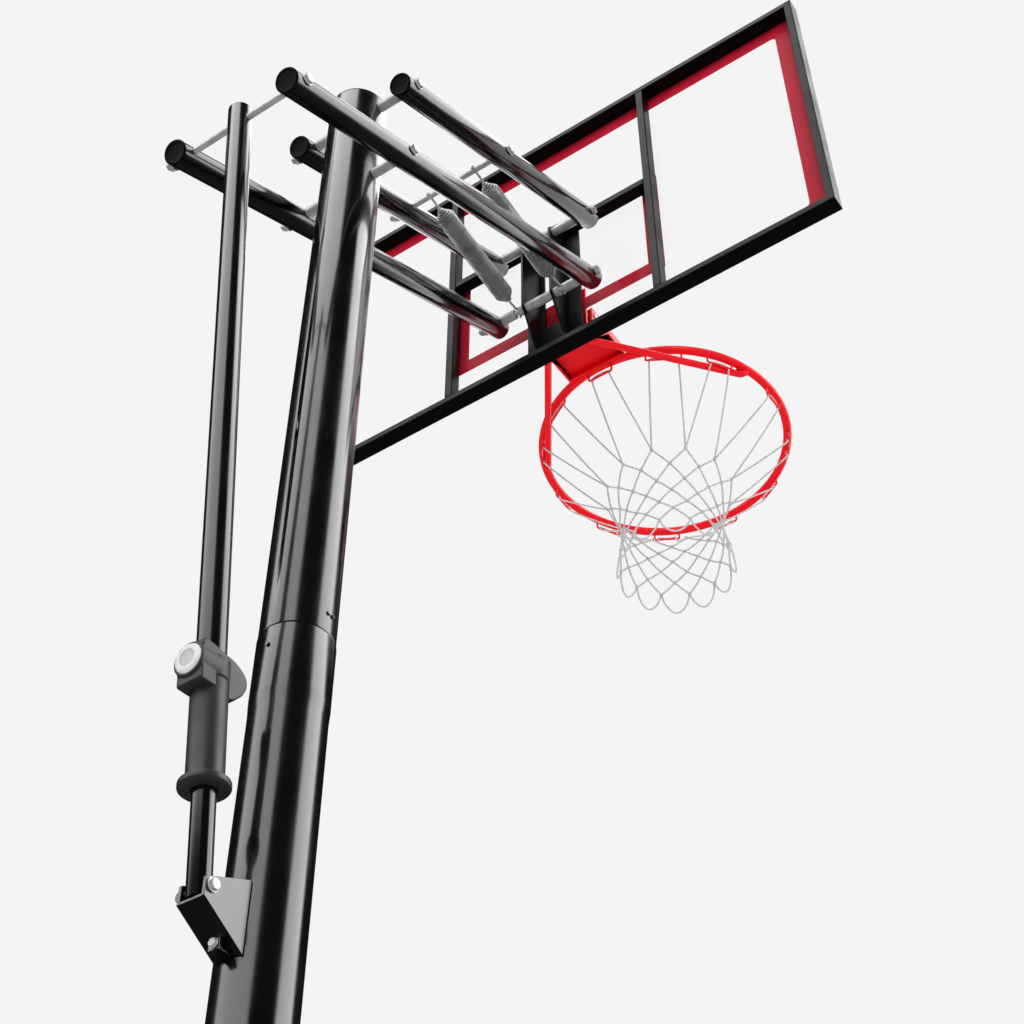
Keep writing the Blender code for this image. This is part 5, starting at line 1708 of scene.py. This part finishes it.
@dataclass
class Net(Assembly):
    """Knotted net: strands between rows of knots, from the ring's hooks to the loops at its foot."""

    rim: Rim
    hooks: int = 12
    reference: float = 3.014
    cord: float = 0.00168
    # Radius of each row of knots, and how far it hangs below the reference height
    rows: tuple = (
        (0.120, 0.114),
        (0.109, 0.143),
        (0.0985, 0.172),
        (0.0945, 0.198),
        (0.0945, 0.226),
        (0.098, 0.250),
        (0.102, 0.279),
    )
    loop: tuple[float, float] = (0.107, 0.317)
    # Exponent that makes the bottom loops full, and how far their foot is drawn in
    fullness: float = 0.62
    pinch: float = 0.03
    rng: random.Random = field(default_factory=lambda: random.Random(11))

    def row_angle(self, row: int, number: int) -> float:
        """Angle of a knot: odd rows stand under the hooks, even ones between them."""
        return (number + (0.5 if row % 2 == 0 else 0.0)) * 360.0 / self.hooks

    def knot_place(self, row: int, number: int) -> Vector:
        """Place of a knot.

        Args:
            row: the knot's row, from the ring down.
            number: its number in the row.

        Returns:
            The place.
        """
        radius, drop = self.rows[row]
        shift = self.knot_shift[row][number % self.hooks]
        return self.rim.around(self.row_angle(row, number), radius, self.reference - drop) + shift

    def nudge(self) -> Vector:
        """A small random offset, as hand-tied knots have."""
        return Vector([self.rng.uniform(-0.0012, 0.0012) for _ in range(3)])

    def strand(self, start: Vector, end: Vector, slack: float) -> list[Vector]:
        """Points of a slightly slack strand between two places.

        Args:
            start: the first place.
            end: the second place.
            slack: how far the strand may bow.

        Returns:
            Three points between the two.
        """
        out = Vector(((start.x + end.x) / 2, (start.y + end.y) / 2 - PIVOTS.ring.y, 0.0)).normalized()
        bow = out * self.rng.uniform(0.2, 1.0) * slack - Z_AXIS * slack * self.rng.uniform(0.0, 0.6)
        return [start.lerp(end, share) + bow * math.sin(math.pi * share) for share in (0.25, 0.5, 0.75)]

    def over_hook(self, number: int) -> list[Vector]:
        """Points of the cord as it lies over a hook's bar, from its left leg to its right one.

        Args:
            number: the hook's number.

        Returns:
            Seven points.
        """
        centre, half = self.hook_spans[number % self.hooks]
        bar, foot = self.rim.radius, self.rim.hook_foot
        lift = self.rim.hook_wire + self.cord
        points = []
        for side in (-1, 1):
            angle = centre + side * (half - 1.6)
            ends = [(bar - 0.006, foot - 0.010, 0.4), (bar - lift, foot, 0.0)]
            ends.append((bar - 0.4 * lift, foot + 0.95 * lift, -0.3))
            leg = [self.rim.around(angle + side * spread, radius, z) for radius, z, spread in ends]
            points += leg if side < 0 else leg[::-1]
        middle = self.rim.around(centre, bar, foot + lift)
        return points[:3] + [middle] + points[3:]

    def build(self) -> None:
        """Knot the net as one mesh."""
        self.knot_shift = [[self.nudge() for _ in range(self.hooks)] for _ in self.rows]
        spans = [((first + second) / 2, (second - first) / 2) for first, second in self.rim.hook_angles()]
        by_number = {round(centre / 30.0) % self.hooks: (centre, half) for centre, half in spans}
        self.hook_spans = [by_number[number] for number in range(self.hooks)]
        paths, knots = [], []
        for number in range(self.hooks):
            left, right = self.knot_place(0, number - 1), self.knot_place(0, number)
            over = self.over_hook(number)
            line = [left] + self.strand(left, over[0], 0.003)[:2] + over
            paths.append(Path(line + self.strand(over[-1], right, 0.003)[1:] + [right]))
            for row in range(len(self.rows) - 1):
                place = self.knot_place(row, number)
                shift = 0 if row % 2 else 1
                for beside in (shift - 1, shift):
                    below = self.knot_place(row + 1, number + beside)
                    paths.append(Path([place] + self.strand(place, below, 0.0016) + [below]))
            last = len(self.rows) - 1
            ends = self.knot_place(last, number - 1), self.knot_place(last, number)
            angle = number * 360.0 / self.hooks
            paths.append(Path(self.bottom_loop(ends[0], ends[1], angle)))
            for row in range(len(self.rows)):
                turn = math.radians(self.row_angle(row, number) + self.rng.uniform(-25, 25))
                knots.append((self.knot_place(row, number), Vector((0.0, 0.0, turn))))
        knot = self.shop.hidden("knot_path", self.knot_mesh())
        mesh = self.shop.wire("net", paths, self.cord, self.palette.cord, 8, 0.0028, knots, knot)
        piece("knotted_net", mesh, Body.RIM, (), ["net"])

    def bottom_loop(self, left: Vector, right: Vector, angle: float) -> list[Vector]:
        """Points of one hanging loop between two knots of the last row.

        Args:
            left: the left knot's place.
            right: the right knot's place.
            angle: angle of the loop's foot in degrees.

        Returns:
            The loop's points, from knot to knot.
        """
        foot = self.rim.around(angle, self.loop[0], self.reference - self.loop[1])
        points = []
        steps = 12
        for step in range(steps + 1):
            share = step / steps
            sunk = math.sin(math.pi * share) ** self.fullness
            chord = left.lerp(right, 0.5 + (share - 0.5) * (1.0 - self.pinch * sunk))
            points.append(chord.lerp(Vector((chord.x, chord.y, 0.0)) + Z_AXIS * foot.z, sunk))
            points[-1] += (foot - left.lerp(right, 0.5)).to_2d().to_3d() * sunk
        return points

    def knot_mesh(self) -> Mesh:
        """Path of one knot: a cord wound twice round the strands, with its ends tucked in.

        Returns:
            A mesh of edges.
        """
        steps, winds, radius, height = 26, 2.1, 0.0023, 0.0052
        points = []
        for step in range(steps + 1):
            share = step / steps
            turn = 2 * math.pi * winds * share
            wide = radius * (0.55 + 0.45 * math.sin(math.pi * min(1.0, max(0.0, share * 1.3 - 0.15))))
            x, y = wide * math.cos(turn) * 1.15, wide * math.sin(turn)
            points.append(Vector((x, y, height * (share - 0.5))))
        return paths_mesh([Path(points)])


@dataclass
class Lift(Assembly):
    """Telescoping height lift with its grip, hand sleeve and release button."""

    # All ends and heights are distances along the lift from its foot pivot
    tilt: float = math.radians(6.744)
    inner_radius: float = 0.0127
    outer_radius: float = 0.0165
    inner_ends: tuple[float, float] = (-0.010, 0.600)
    outer_ends: tuple[float, float] = (0.1205, 1.200455)
    collar_ends: tuple[float, float] = (0.238, 0.263)
    flange_ends: tuple[float, float] = (0.1085, 0.1205)
    button_height: float = 0.2516
    button_reach: float = 0.0372
    button_radius: float = 0.0175
    barrel_reach: float = 0.034
    voxel: float = 0.0009
    # The hood's outline, as depth from the tube's axis and height, and half its width
    hood_half: float = 0.0178
    hood: tuple = (
        (-0.0315, 0.2225),
        (-0.0315, 0.2710),
        (-0.0260, 0.2757),
        (-0.0140, 0.2745),
        (0.0030, 0.2712),
        (0.0120, 0.2703),
        (0.0210, 0.2684),
        (0.0300, 0.2640),
        (0.0365, 0.2585),
        (0.0390, 0.2520),
        (0.0385, 0.2440),
        (0.0330, 0.2330),
        (0.0220, 0.2220),
        (0.0100, 0.2160),
        (0.0000, 0.2160),
        (-0.0100, 0.2225),
    )

    def __post_init__(self) -> None:
        """Work out the matrices along the lift and towards its rear."""
        self.stand = Matrix.Translation(PIVOTS.lift_foot) @ Matrix.Rotation(self.tilt, 4, "X")
        level = Matrix.Translation((0.0, 0.0, self.button_height))
        self.rear = self.stand @ level @ Matrix.Rotation(math.pi / 2, 4, "X")

    def tube(self, name: str, body: Body, radius: float, ends: tuple[float, float], replaced: str) -> None:
        """Turn one plain tube of the lift."""
        mesh = pipe((radius, radius - 0.0015), ends, 0.0004, self.stand)
        self.add(name, mesh, body, Slot.BLACK_PAINT, replaced)

    def build(self) -> None:
        """Build the lift's pieces."""
        self.tube("lift_outer", Body.LIFT_OUTER, self.outer_radius, self.outer_ends, "lift_outer_tube")
        self.tube("lift_inner", Body.LIFT_INNER, self.inner_radius, self.inner_ends, "lift_inner_tube")
        self.sleeve()
        self.housing()
        self.button()

    def sleeve(self) -> None:
        """Turn the hand sleeve with its flange."""
        tube, slide = self.outer_radius + GAP, self.inner_radius + GAP
        sleeve, flange = 0.0200, 0.0275
        low, high = self.flange_ends
        top, lip = self.collar_ends[0] - GAP, self.outer_ends[0] - GAP
        outside = [(sleeve, top), (sleeve, high + 0.0030), (sleeve + 0.0012, high + 0.0006)]
        outside += [(flange - 0.0034, high), (flange, high - 0.0028)]
        outside += [(flange, low + 0.0030), (flange - 0.0036, low)]
        inside = [(slide + 0.0010, low), (slide, low + 0.0010), (slide, lip), (tube, lip), (tube, top)]
        mesh = lathe(rounded(outside + inside, 0.0016, 5), self.stand, 96)
        grip = [self.palette.grip]
        piece("hand_sleeve", mesh, Body.LIFT_OUTER, grip, ["grip_sleeve"])

    def housing(self) -> None:
        """Mould the housing: collar, barrel and hood melted together round the tube."""
        bore, wide = self.outer_radius + 0.0004, self.outer_radius + 0.0043
        low, high = self.collar_ends
        collar = [(wide, high), (wide, low), (0.0, low), (0.0, high)]
        parts = [lathe(rounded(collar, 0.0014, 4, closed=False), self.stand, 96)]
        outer, inner = self.button_radius + 0.0030, self.button_radius + 0.0004
        floor = self.outer_radius + 0.0050
        barrel = rounded(solid(outer, 0.0, self.barrel_reach), 0.0012, 4, closed=False)
        parts.append(lathe(barrel, self.rear, closed=False))
        half, hood = self.hood_half, rounded(self.hood, 0.003, 3)
        parts.append(prism(hood, self.stand @ SIDE_ON, -half, half, bevel=0.0050))
        tube = lathe(solid(bore, 0.10, 0.40), self.stand, closed=False)
        sleeve = lathe(solid(0.0206, 0.10, low), self.stand, closed=False)
        recess = lathe(solid(inner, floor, 0.06), self.rear, closed=False)
        host = linked("mould", merged(*parts))
        remesh = host.modifiers.new("melt", "REMESH")
        remesh.mode, remesh.voxel_size, remesh.use_smooth_shade = "VOXEL", self.voxel, True
        smooth = host.modifiers.new("soften", "SMOOTH")
        smooth.factor, smooth.iterations = 0.5, 7
        mesh = bored(baked(host, "housing"), tube, sleeve, recess)
        mesh.set_sharp_from_angle(angle=math.radians(38))
        grip = [self.palette.grip]
        piece("grip_moulding", mesh, Body.LIFT_OUTER, grip, ["grip_housing"])

    def button(self) -> None:
        """Turn the release button and wind its spring."""
        r, face, thick = self.button_radius, self.button_reach, 0.0077
        dish = 0.60 * r
        depths = [(0.0, 0.0016), (dish - 0.0006, 0.0014), (dish, 0.0002), (dish + 0.0012, 0.0)]
        depths += [(r - 0.0022, 0.0002), (r - 0.0003, 0.0020), (r, 0.0040), (r, thick), (0.0, thick)]
        profile = [(radius, face - depth) for radius, depth in depths]
        mesh = lathe(rounded(profile, 0.0006, 3, closed=False), self.rear, 72, closed=False)
        centre = self.rear.inverted()
        for plastic in (self.palette.white, self.palette.grey):
            mesh.materials.append(plastic)
        for polygon in mesh.polygons:
            local = centre @ polygon.center
            polygon.material_index = int(local.to_2d().length < dish - 0.0004 and local.z > face - 0.0018)
        piece("button_knob", mesh, Body.BUTTON, (), ["release_button"])
        floor = self.outer_radius + 0.0056
        length = face - thick - floor - 0.0008
        sizes = dict(Length=length, Wire=0.0006, Turns=4.5, Steps=140.0)
        place = self.rear @ Matrix.Translation((0.0, 0.0, floor))
        mesh = self.shop.coil("button_coil", place, 0.0074, **sizes)
        coil = piece("button_spring", mesh, None, (), ["release_spring"])
        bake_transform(coil)


@dataclass
class Studio:
    """Floor that is pale to the camera and painted near black in reflections, soft lamps, the sky that the
    paint mirrors, and the camera.
    """

    camera_place: tuple = (1.0493, -1.1044, 0.4957)
    yaw: float = 34.32
    pitch: float = 45.75
    focal_pixels: float = 1765.6
    picture: int = 1024
    sensor: float = 36.0
    centre_row: float = 513.0
    background: tuple = rgb(0.905, 0.902, 0.905)
    # Azimuths and elevations between which each softbox stands, with their soft edges, and its strength
    softboxes: tuple = (
        ((-150.0, -60.0, 5.0), (14.0, 84.0, 8.0), 1.0),
        ((8.0, 58.0, 6.0), (-2.0, 62.0, 5.0), 1.65),
        ((45.0, 140.0, 8.0), (50.0, 96.0, 4.0), 1.0),
        ((50.0, 102.0, 5.0), (-4.0, 20.0, 5.0), 1.0),
    )

    def camera(self) -> None:
        """Set the camera at the photograph's place."""
        data = bpy.data.cameras.new("camera")
        data.sensor_width = self.sensor
        data.lens = self.sensor * self.focal_pixels / self.picture
        data.shift_y = (self.centre_row - self.picture / 2) / self.picture
        data.clip_end = 100.0
        made = linked("camera", data)
        made.location = self.camera_place
        made.rotation_euler = (math.radians(90 + self.pitch), 0.0, math.radians(self.yaw))
        bpy.context.scene.camera = made

    def floor(self) -> None:
        """Lay the floor: pale to the camera and to diffuse light, near black to glossy rays, which paints
        shade into the reflections on glossy undersides.
        """
        bm = bmesh.new()
        bmesh.ops.create_grid(bm, x_segments=8, y_segments=8, size=14.0)
        mesh = bpy.data.meshes.new("floor")
        bm.to_mesh(mesh)
        bm.free()
        s = Shader("floor_paper", Roughness=0.9, Specular_IOR_Level=0.1)
        tone = s.remap(s.noise(1.3, 5.0), 0.3, 0.7, 0.0, 1.0)
        paper = s.blend(tone, rgb(0.80, 0.80, 0.80), rgb(0.83, 0.828, 0.826))
        rays = s.node("ShaderNodeLightPath").outputs
        # Painted shade: glossy rays see the floor near black, so the undersides of glossy parts mirror
        # darkness instead of the pale paper
        s.feed("Base Color", s.blend(rays["Is Glossy Ray"], paper, rgb(0.035, 0.035, 0.035)))
        mesh.materials.append(s.material)
        linked("floor", mesh)

    def sky(self) -> None:
        """World: plain for the camera and for diffuse light, softboxes for what shines."""
        world = bpy.data.worlds.new("studio")
        bpy.context.scene.world = world
        world.use_nodes = True
        t = NodeTree(world.node_tree)
        x, y, z = t.parts(t.node("ShaderNodeTexCoord").outputs["Generated"])
        azimuth, height = t.math("ARCTAN2", y, x), t.math("ARCSINE", z)

        def window(value: NodeSocket, low: float, high: float, soft: float) -> NodeSocket:
            """Share that is 1 between two angles in degrees and fades over a soft edge.

            Args:
                value: the angle in radians.
                low: the first angle.
                high: the last angle.
                soft: half the edge's width.

            Returns:
                The share.
            """
            low, high, soft = (math.radians(angle) for angle in (low, high, soft))
            rise = t.remap(value, low - soft, low + soft, 0.0, 1.0)
            fall = t.remap(value, high - soft, high + soft, 1.0, 0.0)
            return t.times(rise, fall)

        boxes = 0.0
        for around, up, strength in self.softboxes:
            box = t.times(window(azimuth, *around), window(height, *up))
            boxes = t.math("MAXIMUM", boxes, t.times(box, strength))
        bright, dim = 2.2, 0.008
        shine = t.math("MULTIPLY_ADD", boxes, bright, dim)
        glossy = t.node("ShaderNodeBackground", {"Color": rgb(1.0, 1.0, 1.0), "Strength": shine})
        plain = t.node("ShaderNodeBackground", {"Color": rgb(0.99, 0.995, 1.0), "Strength": 0.98})
        paper = t.node("ShaderNodeBackground", {"Color": self.background, "Strength": 1.0})
        rays = t.node("ShaderNodeLightPath").outputs
        ways = {0: rays["Is Glossy Ray"], 1: plain.outputs[0], 2: glossy.outputs[0]}
        first = t.node("ShaderNodeMixShader", ways)
        seen = t.math("MAXIMUM", rays["Is Camera Ray"], rays["Is Transmission Ray"])
        last = t.node("ShaderNodeMixShader", {0: seen, 1: first.outputs[0], 2: paper.outputs[0]})
        t.node("ShaderNodeOutputWorld", {"Surface": last.outputs[0]})

    def lamp(self, name: str, place: Point, target: Point, size: float, watts: float) -> None:
        """Hang one square softbox that faces a target.

        Args:
            name: the lamp's name.
            place: where it hangs.
            target: what it faces.
            size: length of its sides.
            watts: its power.
        """
        data = bpy.data.lights.new(name, "AREA")
        data.size, data.energy = size, watts
        made = linked(name, data)
        made.location = place
        made.rotation_euler = (Vector(place) - Vector(target)).to_track_quat("Z", "Y").to_euler()
        made.visible_glossy = False

    def build(self) -> None:
        """Set up the camera, floor, sky and lamps."""
        view = bpy.context.scene.view_settings
        view.view_transform = "Standard"
        self.camera()
        self.floor()
        self.sky()
        self.lamp("key", (3.2, -3.4, 5.4), (0.0, 0.2, 2.4), size=3.0, watts=120.0)
        self.lamp("fill", (-3.6, 1.8, 4.2), (0.0, 0.3, 2.6), size=3.0, watts=45.0)


def main() -> None:
    """Build the hoop's looks and the studio, in order."""
    logging.basicConfig(level=logging.INFO, format="%(name)s: %(message)s")
    Studio().build()
    shop = Workshop(Palette())
    Pole(shop).build()
    Arms(shop, Body.LOWER_ARMS, PIVOTS.lower, 0.285, PIVOTS.lift_pin, "lift_pin").build()
    Arms(shop, Body.UPPER_ARMS, PIVOTS.upper, 0.0225, PIVOTS.anchor, "spring_anchor").build()
    Springs(shop).build()
    Board(shop).build()
    rim = Rim(shop)
    rim.build()
    Net(shop, rim).build()
    Lift(shop).build()


if __name__ == "__main__":
    main()
